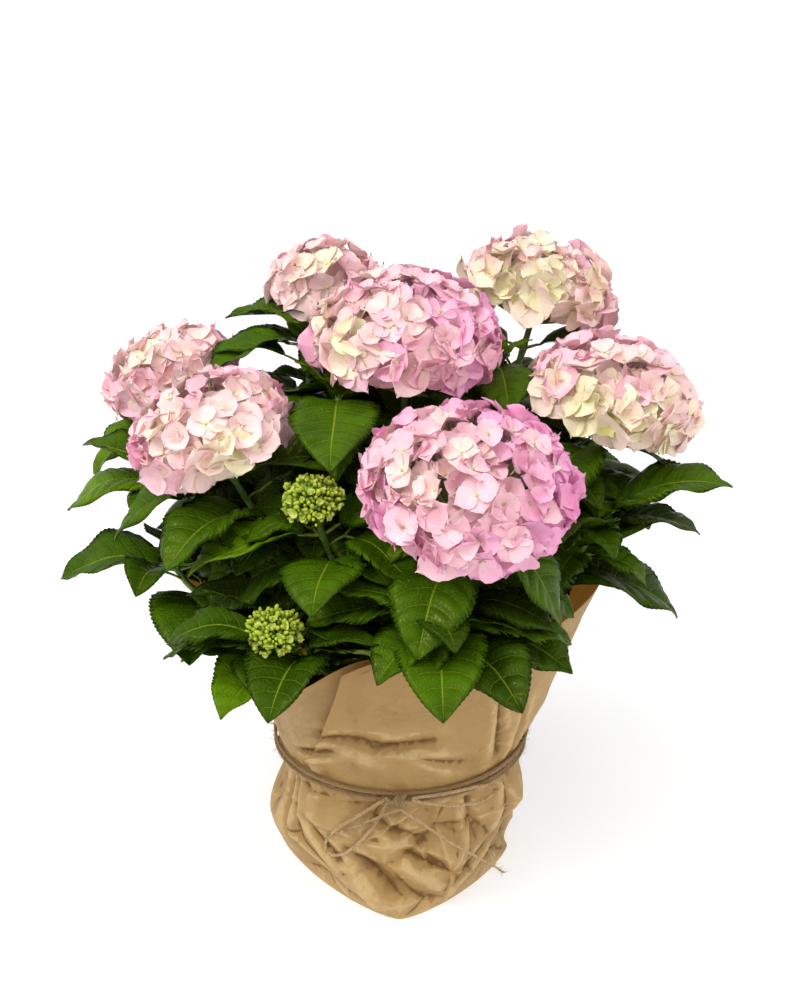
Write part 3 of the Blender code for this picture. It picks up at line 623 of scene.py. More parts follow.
def kraft_finish(name, colour, glow=0.0):
    """Brown kraft paper: mixed fibres, sharp small creases, painted highlight on ridges and
    painted shade in valleys, with a painted glow where one is given."""
    finish = Finish(name)
    fibres = finish.grain(1500, 4, 0.7, stretch=(1, 1, 0.35))
    clouds = finish.grain(18, 3).smooth(0.30, 0.72)
    waves = {"Vector": finish.place(), "Scale": 22.0, "Detail": 1.0}
    swirl = finish.node("ShaderNodeTexNoise", None, waves, "Color")
    bent = finish.node("ShaderNodeVectorMath", {"operation": "SCALE"}, {0: swirl, "Scale": 0.030})
    bent = finish.vector("ADD", finish.place(), bent)
    crumpled = finish.grain(16, 1).smooth(0.44, 0.60)
    creases = tilted_cells(finish, bent, 62.0) * 0.30
    creases = creases + tilted_cells(finish, bent, 150.0) * crumpled * 0.45
    tone = finish.blend(clouds * 0.22 + fibres * 0.18, colour, toned(colour, 0.82))
    # Painted shade in the hollows and folds, painted highlight on the ridges.
    for attribute, start, full, most, shares in FOLD_SHADING:
        level = finish.node("ShaderNodeAttribute", {"attribute_name": attribute}, None, "Fac")
        tone = finish.blend(level.smooth(start, full) * most, tone, toned(colour, shares))
    # A painted glow in the paper's own colour.
    if glow:
        finish.shade(Emission_Color=tuple(colour), Emission_Strength=glow)
    return finish.shade(
        Base_Color=tone,
        Roughness=0.54 + fibres * 0.12,
        Normal=finish.bump(creases + fibres * 0.00006, 1.0, 0.8),
        Specular_IOR_Level=0.35,
    )


def jute_finish(name, colour):
    """Dull plant fibre, streaked light and dark along the yarn."""
    finish = Finish(name)
    streaks = finish.grain(1600, 4, 0.7).smooth(0.32, 0.68)
    return finish.shade(
        Base_Color=finish.blend(streaks, toned(colour, 0.5), toned(colour, 1.5)),
        Roughness=0.88,
        Normal=finish.bump(streaks, 0.0003, 0.9),
        Sheen_Weight=0.2,
    )


def soil_finish(name, colour):
    """Moist dark crumbs with paler specks."""
    finish = Finish(name)
    crumbs = finish.grain(260, 6, 0.7).smooth(0.30, 0.72)
    return finish.shade(
        Base_Color=finish.blend(crumbs, toned(colour, 0.5), toned(colour, 2.4)),
        Roughness=0.95,
        Normal=finish.bump(crumbs, 0.0012, 0.9),
    )


# --- meshes from arrays


def placed(name, data):
    """A new object of that data, in the scene."""
    obj = bpy.data.objects.new(name, data)
    bpy.context.scene.collection.objects.link(obj)
    return obj


def only(obj):
    """Makes obj the one selected, active object."""
    bpy.ops.object.select_all(action="DESELECT")
    obj.select_set(True)
    bpy.context.view_layer.objects.active = obj


def merged(obj):
    """Joins an object's points that lie in one spot."""
    only(obj)
    bpy.ops.object.mode_set(mode="EDIT")
    bpy.ops.mesh.select_all(action="SELECT")
    bpy.ops.mesh.remove_doubles(threshold=1e-5)
    bpy.ops.object.mode_set(mode="OBJECT")
    return obj


BAKE_MARGIN = 0.04  # round each thing in a bake's layout


class Heap:
    """Gathers the points, faces and maps of many like things into one mesh."""

    def __init__(self):
        self.points = []
        self.faces = []
        self.maps = []
        self.cells = []
        self.count = 0

    def add(self, points, faces, maps=None, sheets=None):
        """Points (n, 3), faces as index tuples and, for a map, one (x, y) for each point.
        Sheets gives each face's side of a leaf, so that a bake can lay them apart."""
        self.faces += [tuple(corner + self.count for corner in face) for face in faces]
        self.points.append(np.asarray(points, dtype=float))
        self.count += len(points)
        if maps is not None:
            self.maps.append(np.asarray(maps, dtype=float))
            self.cells.append(sheets if sheets is not None else [0] * len(faces))

    def piece(self, name, finish, slot, nodes, map_name=None, smooth=True):
        """The heap as an object that rides on the plant and stands for those nodes."""
        mesh = bpy.data.meshes.new(name)
        points = np.concatenate(self.points)
        mesh.from_pydata(points.tolist(), [], self.faces)
        if map_name:
            corners = np.empty(len(mesh.loops), dtype=np.int32)
            mesh.loops.foreach_get("vertex_index", corners)
            places = np.concatenate(self.maps)[corners]
            for layer, uv in ((map_name, places), ("OFBake", self.laid_out(places))):
                mesh.uv_layers.new(name=layer).data.foreach_set("uv", uv.ravel())
        mesh.polygons.foreach_set("use_smooth", [smooth] * len(mesh.polygons))
        mesh.materials.append(finish)
        mesh.update()
        return settled(placed(name, mesh), nodes)

    def laid_out(self, places):
        """The map with each thing, and each side of it, in a square of its own."""
        shares = []
        number = 0
        for sides in self.cells:
            shares += [number + side for side in sides]
            number += max(sides) + 1
        side = math.ceil(math.sqrt(number))
        corners = np.repeat(np.array(shares), [len(face) for face in self.faces])
        origin = np.stack([corners % side, corners // side], 1)
        return (origin + BAKE_MARGIN + (1 - 2 * BAKE_MARGIN) * places) / side


def settled(obj, nodes):
    """Makes a finished object a piece of the plant."""
    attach(obj, "root")
    if nodes:
        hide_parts(*nodes)
    return obj


def unit(vectors):
    """Vectors (n, 3), each a unit long."""
    return vectors / np.maximum(np.linalg.norm(vectors, axis=-1, keepdims=True), 1e-12)


def tube_frames(path, closed=False):
    """Two unit directions across a path at each point, with the least turn."""
    if closed:
        ahead = unit(np.roll(path, -1, 0) - np.roll(path, 1, 0))
    else:
        ahead = unit(np.gradient(path, axis=0))
    first = np.cross(ahead[0], (0.31, 0.17, 0.93))
    sides = [first / np.linalg.norm(first)]
    for direction in ahead[1:]:
        side = sides[-1] - direction * np.dot(sides[-1], direction)
        sides.append(side / np.linalg.norm(side))
    sides = np.array(sides)
    return sides, np.cross(ahead, sides)


def tube(path, radii, sides, closed=False, uneven=1):
    """Points and faces of a round bar along a path, which caps close where it ends. Uneven
    scales its radius, at each point and side."""
    path = np.asarray(path, dtype=float)
    radii = np.broadcast_to(np.asarray(radii, dtype=float), len(path))
    first, second = tube_frames(path, closed)
    turn = (np.arange(sides) * math.tau / sides)[None, :, None]
    ring = first[:, None] * np.cos(turn) + second[:, None] * np.sin(turn)
    reach = np.broadcast_to(radii[:, None] * uneven, ring.shape[:2])
    points = (path[:, None] + ring * reach[..., None]).reshape(-1, 3)
    rows = len(path)
    faces = []
    for row in range(rows if closed else rows - 1):
        low, high = row * sides, (row + 1) % rows * sides
        for side in range(sides):
            beside = (side + 1) % sides
            faces.append((low + side, low + beside, high + beside, high + side))
    if not closed:
        faces.append(tuple(range(sides - 1, -1, -1)))
        faces.append(tuple((rows - 1) * sides + side for side in range(sides)))
    return points, faces


def smooth_run(p0, p1, p2, p3, share):
    """Places from p1 to p2 on a smooth curve that comes from p0 and goes on to p3."""
    return 0.5 * (
        2 * p1 + (p2 - p0) * share + (2 * p0 - 5 * p1 + 4 * p2 - p3) * share**2
        + (3 * p1 - p0 - 3 * p2 + p3) * share**3
    )


def finer(path, steps):
    """A smooth curve through a path's points, with that many steps to each of its own."""
    path = np.array([tuple(point) for point in path])
    before = np.vstack([2 * path[0] - path[1], path])
    after = np.vstack([path, 2 * path[-1] - path[-2]])
    places = np.linspace(0, 1, steps, endpoint=False)[:, None]
    runs = [
        smooth_run(before[i], path[i], path[i + 1], after[i + 2], places)
        for i in range(len(path) - 1)
    ]
    return np.vstack(runs + [path[-1:]])


def ring_spot(radius, angle, height=0.0):
    """The place at that distance and direction from the plant's axis."""
    return (radius * math.cos(angle), radius * math.sin(angle), height)


def poled_faces(rings, sides):
    """Faces of a closed form: a lower pole, rings of points, an upper pole."""
    last = 1 + (rings - 1) * sides
    faces = []
    for side in range(sides):
        beside = (side + 1) % sides
        faces.append((0, 1 + beside, 1 + side))
        for low in range(1, last, sides):
            high = low + sides
            faces.append((low + side, low + beside, high + beside, high + side))
        faces.append((last + side, last + beside, last + sides))
    return faces


def grid_faces(rows, columns):
    """Faces of an open grid of points, laid row by row."""
    for row in range(rows - 1):
        for low in range(row * columns, (row + 1) * columns - 1):
            yield low, low + 1, low + columns + 1, low + columns


def ball(sides, rings):
    """Points and faces of a unit ball, from its lower to its upper pole."""
    points = [(0, 0, -1)]
    for ring in range(1, rings):
        polar = math.pi * ring / rings
        for side in range(sides):
            turn = math.tau * side / sides
            points.append(ring_spot(math.sin(polar), turn, -math.cos(polar)))
    points.append((0, 0, 1))
    return np.array(points), poled_faces(rings - 1, sides)


def tree_of(points):
    """A tree that finds the nearest of some points."""
    tree = kdtree.KDTree(len(points))
    for number, point in enumerate(points):
        tree.insert(point, number)
    tree.balance()
    return tree


# --- growth rule


def stem_seats():
    """Where each shoot leaves the woody crown: a ring sorted by direction, so none cross."""
    def direction(shoot):
        return math.atan2(shoot.tip[1], shoot.tip[0])

    centre = min(SHOOTS, key=lambda shoot: math.hypot(shoot.tip[0], shoot.tip[1]))
    ring = sorted((shoot for shoot in SHOOTS if shoot != centre), key=direction)
    top = SOIL_TOP + GAP + CROWN_HEIGHT + GAP
    seats = {centre.name: Vector((0, 0, top))}
    for place, shoot in enumerate(ring):
        angle = -math.pi + (place + 0.5) * math.tau / len(ring)
        spot = Vector((math.cos(angle), math.sin(angle), 0)) * STEM_RING_RADIUS
        seats[shoot.name] = spot + UP * top
    return seats


def head_axis(shoot):
    """Heads and tufts tilt a little outward from upright."""
    tip = Vector(shoot.tip)
    return (UP + Vector((tip.x, tip.y, 0)) * TIP_TILT).normalized()


def shoot_path(shoot, seat):
    """The shoot's centre line from the crown to its tip: upright at first, then leaning out."""
    tip = Vector(shoot.tip)
    foot = seat + UP * STEM_FOOT
    length = (tip - foot).length
    first = foot + UP * length * SHOOT_RISE + Vector((tip.x, tip.y, 0)) * SHOOT_LEAN
    second = tip - head_axis(shoot) * length * SHOOT_AIM
    points = [seat]
    for step in range(PATH_STEPS + 1):
        t = step / PATH_STEPS
        low = foot * (1 - t) ** 3 + first * 3 * t * (1 - t) ** 2
        points.append(low + second * 3 * t * t * (1 - t) + tip * t**3)
    return points


def along_path(points, share):
    """The point at a share of a path's steps."""
    place = min(share, 0.9999) * (len(points) - 1)
    low = int(place)
    return points[low] + (points[low + 1] - points[low]) * (place - low)


def varied(rng, reach):
    """A random amount up to that reach either way."""
    return rng.uniform(-reach, reach)


def leaf_at(base, heading, rise, bend, length, roll):
    """A leaf from its angles in degrees."""
    angles = (math.radians(angle) for angle in (heading, rise, bend))
    return Leaf(base, *angles, length, math.radians(roll))


def pair_share(shoot, pair):
    """The share of a shoot's path where a leaf pair leaves it."""
    top = TOP_PAIR if shoot.head else TOP_PAIR_TUFT
    return top + (LOW_PAIR - top) * (pair / (LEAF_PAIRS - 1))


def leaf_pair(shoot, path, pair):
    """A shoot's opposite pair of leaves, counted from the top, each pair turned a right angle
    from the one over it."""
    rng = random.Random(f"{shoot.name} {pair}")
    lower = pair / (LEAF_PAIRS - 1)
    base = along_path(path, pair_share(shoot, pair))
    leaves = []
    for side in range(2):
        heading = shoot.turn + 90 * pair + 180 * side + varied(rng, HEADING_VARIES)
        rise = shoot.rise + (LOW_RISE - shoot.rise) * lower + varied(rng, RISE_VARIES)
        bend = TOP_BEND + (LOW_BEND - TOP_BEND) * lower + varied(rng, BEND_VARIES)
        length = shoot.leaf * (TOP_LEAF + (1 - TOP_LEAF) * lower)
        length *= 1 + varied(rng, LENGTH_VARIES)
        leaves.append(leaf_at(base, heading, rise, bend, length, varied(rng, ROLL_VARIES)))
    return leaves


def tries(leaf):
    """The leaf as grown, then lifted, turned or shortened, until it fits between the others."""
    for size in LEAF_SIZES:
        for lift, turn in LEAF_TRIES:
            yield leaf._replace(
                rise=leaf.rise + math.radians(lift),
                heading=leaf.heading + math.radians(turn),
                length=leaf.length * size,
            )


def leaf_frames(leaf, shares):
    """Points, across and upward directions of the midrib at shares of the leaf's length."""
    shares = np.asarray(shares, dtype=float)
    flat = np.array((math.cos(leaf.heading), math.sin(leaf.heading), 0))
    sideways = np.array((-flat[1], flat[0], 0))
    up = np.array((0, 0, 1.0))
    straight = np.minimum(shares, PETIOLE_SHARE) * leaf.length - ROOT_SUNK
    bent = np.maximum(0, shares - PETIOLE_SHARE) / (1 - PETIOLE_SHARE)
    end = leaf.rise - leaf.bend * bent
    curl = leaf.length * (1 - PETIOLE_SHARE) / leaf.bend
    ahead = straight * math.cos(leaf.rise) + curl * (math.sin(leaf.rise) - np.sin(end))
    above = straight * math.sin(leaf.rise) + curl * (np.cos(end) - math.cos(leaf.rise))
    normal = up * np.cos(end)[:, None] - flat * np.sin(end)[:, None]
    roll = (leaf.roll * bent)[:, None]
    return (
        np.array(leaf.base) + flat * ahead[:, None] + up * above[:, None],
        sideways * np.cos(roll) + normal * np.sin(roll),
        normal * np.cos(roll) - sideways * np.sin(roll),
    )


def standing_leaves():
    """(shoot, pair, side, leaf) for each leaf of the solids: the try whose tip its solid has."""
    seats = stem_seats()
    for shoot in SHOOTS:
        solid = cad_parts["shoot_" + shoot.name].data
        tree = tree_of([vertex.co for vertex in solid.vertices])
        path = shoot_path(shoot, seats[shoot.name])
        for pair in range(LEAF_PAIRS):
            for side, grown in enumerate(leaf_pair(shoot, path, pair)):
                for leaf in tries(grown):
                    tip = leaf_frames(leaf, [1.0])[0][0]
                    if tree.find(tip)[2] < TIP_MATCH:
                        yield shoot, pair, side, leaf
                        break


def head_surface(shoot, polar, turn, scale=1.0):
    """A point of the head's dome and its outward direction."""
    half = shoot.head / 2 - HEAD_INSET
    tall = shoot.head * (HEAD_RISE if math.cos(polar) > 0 else HEAD_DROP)
    local = Vector(ring_spot(math.sin(polar), turn, math.cos(polar)))
    size = Vector((half, half, tall)) * scale
    point = Vector(local[i] * size[i] for i in range(3))
    outward = Vector(local[i] / size[i] for i in range(3)).normalized()
    lean = UP.rotation_difference(head_axis(shoot)).to_matrix()
    return Vector(shoot.tip) + lean @ point, lean @ outward


def head_spots(shoot, count):
    """Even spots over the dome, by the golden angle."""
    for k in range(count):
        height = 1 - (1 - math.cos(HEAD_REACH)) * (k + 0.5) / count
        yield head_surface(shoot, math.acos(height), k * GOLDEN_ANGLE)


# --- leaves

ROWS_PER_VEIN = 6
# Columns of points over half a blade, from its midrib to its margin.
FINE_COLUMNS = (0.0, 0.06, 0.26, 0.50, 0.76, 1.0)
PLAIN_COLUMNS = (0.0, 0.30, 0.68, 1.0)
VEIN_SWEEP = 0.30  # how far side veins run forward, of the blade's length
BLADE_ROOT_POWER = 0.58  # roundness at the root and the tip
BLADE_TIP_POWER = 0.80
DRAWN_TIP = 0.38
TOOTH = 0.030  # how far a tooth stands out, of half the width
TOOTH_LEAN = 0.16  # how far it points ahead
RIB_ROUND = 0.0015  # of the trough over the midrib
RIPPLE = 0.030  # heights of the margin's waves and of the blade's sag, of its length
SAG = 0.035
QUILTED_LENGTH = 0.12  # the blade that the quilting is given for
LEAF_TONES = ("deep", "mid", "fresh")


class Blade:
    """A toothed leaf blade with two faces, in shares of its length and width. Its rows run
    along the side veins."""

    def __init__(self, settings, rows_per_vein, half):
        rows = settings.vein_pairs * rows_per_vein
        across = np.array([-part for part in half[:0:-1]] + list(half))
        row, column = np.divmod(np.arange(rows * len(across)), len(across))
        row = np.append(row, rows)
        self.v = np.append(across[column], 0.0)
        self.u = row / rows
        off = np.abs(self.v)
        sweep = VEIN_SWEEP * (1 - self.u) ** 0.75 * np.minimum(1, self.u * 5 + 0.25)
        self.place = np.minimum(1, self.u + sweep * off**1.5)
        margin = off == 1
        tooth = np.where(row % 2 == 1, TOOTH, -TOOTH * 0.5) * margin * (row > 1)
        self.stretch = 1 + tooth
        self.place = np.minimum(1, self.place + TOOTH_LEAN * np.maximum(tooth, 0) * margin)
        self.half_width = self.outline(self.place) / self.outline(np.linspace(0, 1, 200)).max()
        swell = np.abs(np.sin(math.pi * self.u * settings.vein_pairs)) ** 0.8
        self.quilt = swell * np.sin(math.pi * np.minimum(1, off * 1.08)) ** 0.6
        self.quilt *= 1 - 0.5 * self.u
        self.build_faces(rows, len(across))

    @staticmethod
    def outline(place):
        """Half the blade's width at places along it, before it is brought to size."""
        body = place**BLADE_ROOT_POWER * np.maximum(0, 1 - place) ** BLADE_TIP_POWER
        return body * (1 - DRAWN_TIP * place**7)

    def build_faces(self, rows, columns):
        """The upper face, its tip, and a lower face that shares the margin's points."""
        tip = rows * columns
        upper = [(a, d, c, b) for a, b, c, d in grid_faces(rows, columns)]
        upper += [(low, tip, low + 1) for low in range(tip - columns, tip - 1)]
        self.inner = [
            row * columns + column for row in range(1, rows) for column in range(1, columns - 1)
        ]
        under = {index: tip + 1 + place for place, index in enumerate(self.inner)}
        lower = [tuple(under.get(corner, corner) for corner in reversed(face)) for face in upper]
        self.faces = upper + lower
        self.sides = [0] * len(upper) + [1] * len(lower)
        self.map = np.stack([self.u, self.v / 2 + 0.5], 1)
        self.map = np.vstack([self.map, self.map[self.inner]])

    def shaped(self, leaf, settings, rng):
        """The blade's points on that leaf."""
        length = leaf.length * (1 - PETIOLE_SHARE)
        shares = PETIOLE_SHARE + self.place * (1 - PETIOLE_SHARE)
        middle, across, normal = leaf_frames(leaf, shares)
        half = self.half_width * settings.width / 2 * length * rng.uniform(0.92, 1.06)
        sideways = self.v * self.stretch * half
        fold = LEAF_FOLD * rng.uniform(0.5, 2.2)
        lift = np.sqrt(sideways**2 + RIB_ROUND**2) - RIB_ROUND
        size = leaf.length / QUILTED_LENGTH
        waves = rng.uniform(1.2, 2.6)
        ripple = np.sin(math.tau * (waves * self.u + rng.uniform(0, 1) + 0.25 * np.sign(self.v)))
        curl = rng.uniform(-0.10, 0.30)
        height = lift * math.sin(fold) - curl * half * self.v**4
        height += self.quilt * settings.quilting * size * rng.uniform(0.7, 1.3)
        height += ripple * self.v**2 * RIPPLE * leaf.length * (1 - 0.6 * self.u)
        sag = np.sin(math.pi * self.place) * np.sin(math.tau * (self.place + rng.uniform(0, 1)))
        height += sag * rng.uniform(0.0, SAG) * leaf.length
        top = middle + across * (sideways * math.cos(fold))[:, None] + normal * height[:, None]
        under = top[self.inner] - normal[self.inner] * settings.thickness
        return np.vstack([top, under])


DEEP_AGE = 1.9  # ages, in leaf pairs, from which a leaf is deep or mid green
MID_AGE = -0.35
SHADED_LOW_LEAF = 0.30  # leaves below this get darker tones as painted shade, and those before this lighter ones as painted light
LIT_FRONT_LEAF = -0.06


def leaf_tone(shoot, pair, leaf, rng):
    """Older leaves are darker and tuft tips fresher; lower leaves are darker as painted shade, and
    front leaves lighter as painted light.
    """
    age = pair + rng.uniform(-1.1, 1.1) + (0.6 if shoot.head else -0.2)
    # Painted shade low down and painted light in front.
    age += 1.2 * (leaf.base.z < SHADED_LOW_LEAF) - 0.8 * (leaf.base.y < LIT_FRONT_LEAF)
    if age > DEEP_AGE:
        return "deep"
    return "mid" if age > MID_AGE else "fresh"


STALK_SHARE = PETIOLE_SHARE * 1.35  # it runs on under the blade


def stalk_of(leaf, size):
    """The leaf's stalk, as a path and radii, up to where it runs into the midrib."""
    shares = np.linspace(0, STALK_SHARE, 7)
    middle, _, normal = leaf_frames(leaf, shares)
    radii = np.interp(shares, (0, PETIOLE_SHARE, shares[-1]), (1.0, 0.75, 0.25)) * PETIOLE_RADIUS * size
    sunk = np.where(shares > PETIOLE_SHARE, radii * 0.7, 0)
    return middle - normal * sunk[:, None], radii


SIDE_SHARES = (0.44, 0.56, 0.68, 0.80, 0.91)
TWIG_LENGTH = 0.020
TWIG_RISE = 0.75  # a side twig's climb, for its run outward
SIDE_TWIG_RADIUS = 0.0011
RIM_CLEAR = 0.004  # room over the paper's rim, and inside the paper
PAPER_CLEAR = 0.007
HEAD_ROOM = 0.44  # room round a head, of its width


def side_leaves(shoot, path):
    """Pairs of smaller leaves on short side twigs between the main pairs: (twig, leaves)."""
    rng = random.Random(shoot.name + " side twigs")
    for number, share in enumerate(SIDE_SHARES):
        for side in range(2):
            heading = math.radians(shoot.turn + 45 + 90 * number + 180 * side + varied(rng, 20))
            out = Vector(ring_spot(1, heading, TWIG_RISE)).normalized()
            foot = along_path(path, share + varied(rng, 0.03))
            end = foot + out * TWIG_LENGTH * rng.uniform(0.7, 1.3)
            leaves = []
            for turn in (-55, 55):
                leaf = Leaf(
                    end,
                    heading + math.radians(turn + varied(rng, 18)),
                    math.radians(rng.uniform(5, 45)),
                    math.radians(rng.uniform(45, 85)),
                    rng.uniform(0.062, 0.088),
                    math.radians(varied(rng, ROLL_VARIES)),
                )
                if clear_of_wrap(leaf) and clear_of_heads(leaf):
                    leaves.append(leaf)
            if leaves:
                yield (foot, foot.lerp(end, 0.5) + UP * 0.001, end), leaves


def clear_of_wrap(leaf):
    """True where a leaf stays inside the paper, or wholly above its rim."""
    middle, across, _ = leaf_frames(leaf, np.linspace(0, 1, 9))
    half = 0.3 * leaf.length
    for sideways in (-half, 0, half):
        for x, y, z in middle + across * sideways:
            angle, radius = math.atan2(y, x), math.hypot(x, y)
            rim_height, _ = rim_at(angle)
            room = wrap_radius(angle, min(z, rim_height)) - PAPER_CLEAR
            if z < rim_height + RIM_CLEAR and radius > room:
                return False
    return True


def clear_of_heads(leaf):
    """True where a leaf keeps out of every flower head."""
    middle, _, _ = leaf_frames(leaf, np.linspace(0.2, 1, 8))
    for shoot in SHOOTS:
        reach = np.linalg.norm(middle - np.array(shoot.tip), axis=1).min()
        if shoot.head and reach < shoot.head * HEAD_ROOM:
            return False
    return True


def young_leaves(shoot, path):
    """The small unfolding leaves at a leafy tuft's tip."""
    rng = random.Random(shoot.name + " young")
    base = path[-1] - (path[-1] - path[-2]).normalized() * 0.002
    for pair in range(2):
        for side in range(2):
            heading = shoot.turn + 90 + 90 * pair + 180 * side + varied(rng, 14)
            rise = rng.uniform(38, 62) + 12 * pair
            length = rng.uniform(0.040, 0.052) - 0.016 * pair
            bend = rng.uniform(20, 50)
            yield leaf_at(base, heading, rise, bend, length, varied(rng, 10))


# --- flower heads

SEPAL_ROWS = (0.0, 0.14, 0.34, 0.56, 0.76, 0.92, 1.0)
SEPAL_COLUMNS = (-1.0, -0.5, 0.0, 0.5, 1.0)
SEPAL_LENGTH = 0.56  # of the floret's width
SEPAL_WIDTH = 0.62  # half its width, of its length
HEAD_SUNK = 0.0055  # how deep the eyes lie in the dome
DEEPER = (0, 0, 0.006, 0.011)  # how much deeper some lie
EYE_SIZE = (0.0014, 0.0014, 0.0011)
EYE_RISE = (0, 0, 0.0010)
HEAD_WIDTH = 0.15  # of the head that the florets are counted for


class Floret:
    """The template of four overlapping sepals round an eye."""

    def __init__(self):
        rows, columns = len(SEPAL_ROWS), len(SEPAL_COLUMNS)
        self.s = np.repeat(SEPAL_ROWS, columns)
        self.v = np.tile(SEPAL_COLUMNS, rows)
        body = np.clip(self.s, 0.012, 1) ** 0.72 * (1.002 - self.s) ** 0.86
        self.half = SEPAL_WIDTH * body / body.max()
        self.map = np.stack([self.v / 2 + 0.5, self.s], 1)
        self.faces = list(grid_faces(rows, columns))
        self.eye_points, self.eye_faces = ball(6, 4)

    def sepals(self, width, cup, rng):
        """Four sepals' points about an upright floret, each as (n, 3). Cup is how steeply
        they stand up round the eye."""
        length = width * SEPAL_LENGTH
        curl = rng.uniform(0.0, 0.6)
        point = rng.uniform(0.16, 0.50)
        for number in range(4):
            size = length * rng.uniform(0.84, 1.08)
            stand = cup + rng.uniform(-0.14, 0.14)
            tip = np.maximum(0, self.s - 0.5)
            along = self.s * math.cos(stand) + point * tip * (1 - np.abs(self.v)) * self.s
            rise = self.s * math.sin(stand) - curl * tip**2
            trough = rng.uniform(0.10, 0.60) * self.v**2 * self.half
            wave = 0.05 * np.sin(self.v * 4 + rng.uniform(0, 6)) * self.s
            height = rise + trough + wave + 0.03 * (number % 2)
            local = np.stack([along, self.v * self.half, height], 1)
            turn = math.tau * number / 4 + varied(rng, 0.12)
            cos, sin = math.cos(turn), math.sin(turn)
            spun = np.array(((cos, sin, 0), (-sin, cos, 0), (0, 0, 1)))
            yield (local * size) @ spun


BLUSH_SPREAD = 1.7  # how fast a head's tone runs to its deepest
TONE_VARIES = 0.62


def tone_of(shoot, outward, rng):
    """The sepal tone of a floret that faces that way on its head."""
    blush = BLUSHES[shoot.name]
    apart = outward.angle(Vector(blush.heart)) / math.pi
    place = blush.palest + (blush.deepest - blush.palest) * min(1, apart * BLUSH_SPREAD)
    place += rng.gauss(0, TONE_VARIES)
    names = list(SEPAL_TONES)
    return names[max(0, min(len(names) - 1, round(place)))]


def turned_to(outward, spin):
    """A rotation, as rows, that stands +Z along outward."""
    lean = UP.rotation_difference(outward).to_matrix()
    return np.array(lean @ Matrix.Rotation(spin, 3, "Z"))


def strayed(outward, reach, rng):
    """A direction up to that reach off the outward one."""
    return (outward + Vector(varied(rng, reach) for _ in range(3))).normalized()


def mophead(shoot, settings, heaps, eyes, stalks):
    """All florets of one head, with eyes and stalks: small and cupped at its crown, wide and
    open round its skirt."""
    rng = random.Random(shoot.name + " florets")
    floret = Floret()
    count = round(settings.florets * (shoot.head / HEAD_WIDTH) ** 2)
    hub = Vector(shoot.tip) - head_axis(shoot) * shoot.head * HEAD_DROP * 0.8
    for k, (spot, outward) in enumerate(head_spots(shoot, count)):
        skirt = k / count
        facing = strayed(outward, 0.50, rng)
        width = settings.floret_width * (0.74 + 0.34 * skirt) * rng.uniform(0.86, 1.12)
        cup = rng.uniform(0.10, 0.85) * (1.05 - 0.6 * skirt)
        sunk = HEAD_SUNK + rng.choice(DEEPER) + 0.5 * width * math.sin(cup) * SEPAL_LENGTH
        centre = spot - outward * sunk
        turn = turned_to(facing, rng.uniform(0, math.tau))
        tone = tone_of(shoot, outward, rng)
        for sepal in floret.sepals(width, cup, rng):
            heaps[tone].add(sepal @ turn.T + np.array(centre), floret.faces, floret.map)
        bead = floret.eye_points * EYE_SIZE + EYE_RISE
        eyes.add(bead @ turn.T + np.array(centre), floret.eye_faces)
        bow = hub.lerp(centre, 0.5) + outward * shoot.head * 0.04
        path = finer([hub, bow, centre - facing * 0.0004], 3)
        stalks.add(*tube(path, np.linspace(0.0011, 0.0006, len(path)), 4))


BUD_BEADS = 240
BUD_FLORETS = 34
SHADED_BEAD_DEPTH = -0.0030  # beads deeper than this take the darker colour, as painted shade


def bud_head(shoot, beads, shaded_beads, florets, stalks):
    """An unopened head: clustered green buds with a few tiny opening florets among them."""
    rng = random.Random(shoot.name + " beads")
    points, faces = ball(6, 4)
    floret = Floret()
    hub = Vector(shoot.tip) - head_axis(shoot) * shoot.head * HEAD_DROP
    for spot, outward in head_spots(shoot, BUD_BEADS):
        depth = rng.uniform(-0.007, 0.002) + 0.005 * noise.noise(spot * 110)
        centre = spot + outward * depth
        size = rng.uniform(0.0012, 0.0021)
        tall = rng.uniform(1.1, 1.9)
        turn = turned_to(strayed(outward, 0.45, rng), 0)
        # Deeper beads are darker: painted shade.
        heap = shaded_beads if depth < SHADED_BEAD_DEPTH else beads
        heap.add((points * (size, size, size * tall)) @ turn.T + np.array(centre), faces)
        path = finer([hub, hub.lerp(centre, 0.55) + outward * 0.002, centre], 2)
        stalks.add(*tube(path, np.linspace(0.0008, 0.0004, len(path)), 4))
    for spot, outward in head_spots(shoot, BUD_FLORETS):
        turn = turned_to(strayed(outward, 0.5, rng), rng.uniform(0, math.tau))
        centre = np.array(spot + outward * rng.uniform(-0.003, 0.0))
        for sepal in floret.sepals(rng.uniform(0.006, 0.010), rng.uniform(0.7, 1.2), rng):
            florets.add(sepal @ turn.T + centre, floret.faces, floret.map)


# --- wrap

BASE_RINGS = 5
AROUND = WAIST_RADIUS * math.tau  # the sheet's run round the waist
SEAM = math.radians(112)
BASE_COLUMNS = 180
FOLD_STEP = 0.003  # how finely the folds are cut
BORDER = 0.006  # kept free of folds along the sheet's edges
CLEAR_OF_FOLD = 0.0035  # and along the large folds
SEAM_CORNERS = 8  # corners of facets on the seam, foot and rim
EDGE_CORNERS = 16
# Bands of the sheet from its foot to its rim: where each ends, the spacing of its large
# facets, of its small ones and of its points.
Band = namedtuple("Band", "top large small points")
BANDS = (
    Band(0.096, (0.050, 0.038), (0.023, 0.019), 0.0042),
    Band(0.142, (0.036, 0.024), (0.018, 0.015), 0.0025),
    Band(RIM_HEIGHT, (0.062, 0.040), (0.030, 0.026), 0.0046),
)
SMALL_FOLD = 0.34  # height of small facets, of the large ones'


def section(angle, side, depth, power):
    """The radius of a superellipse section that reaches out to the four folded corners."""
    spread = abs(math.cos(angle) / side) ** power + abs(math.sin(angle) / depth) ** power
    return spread ** (-1 / power)


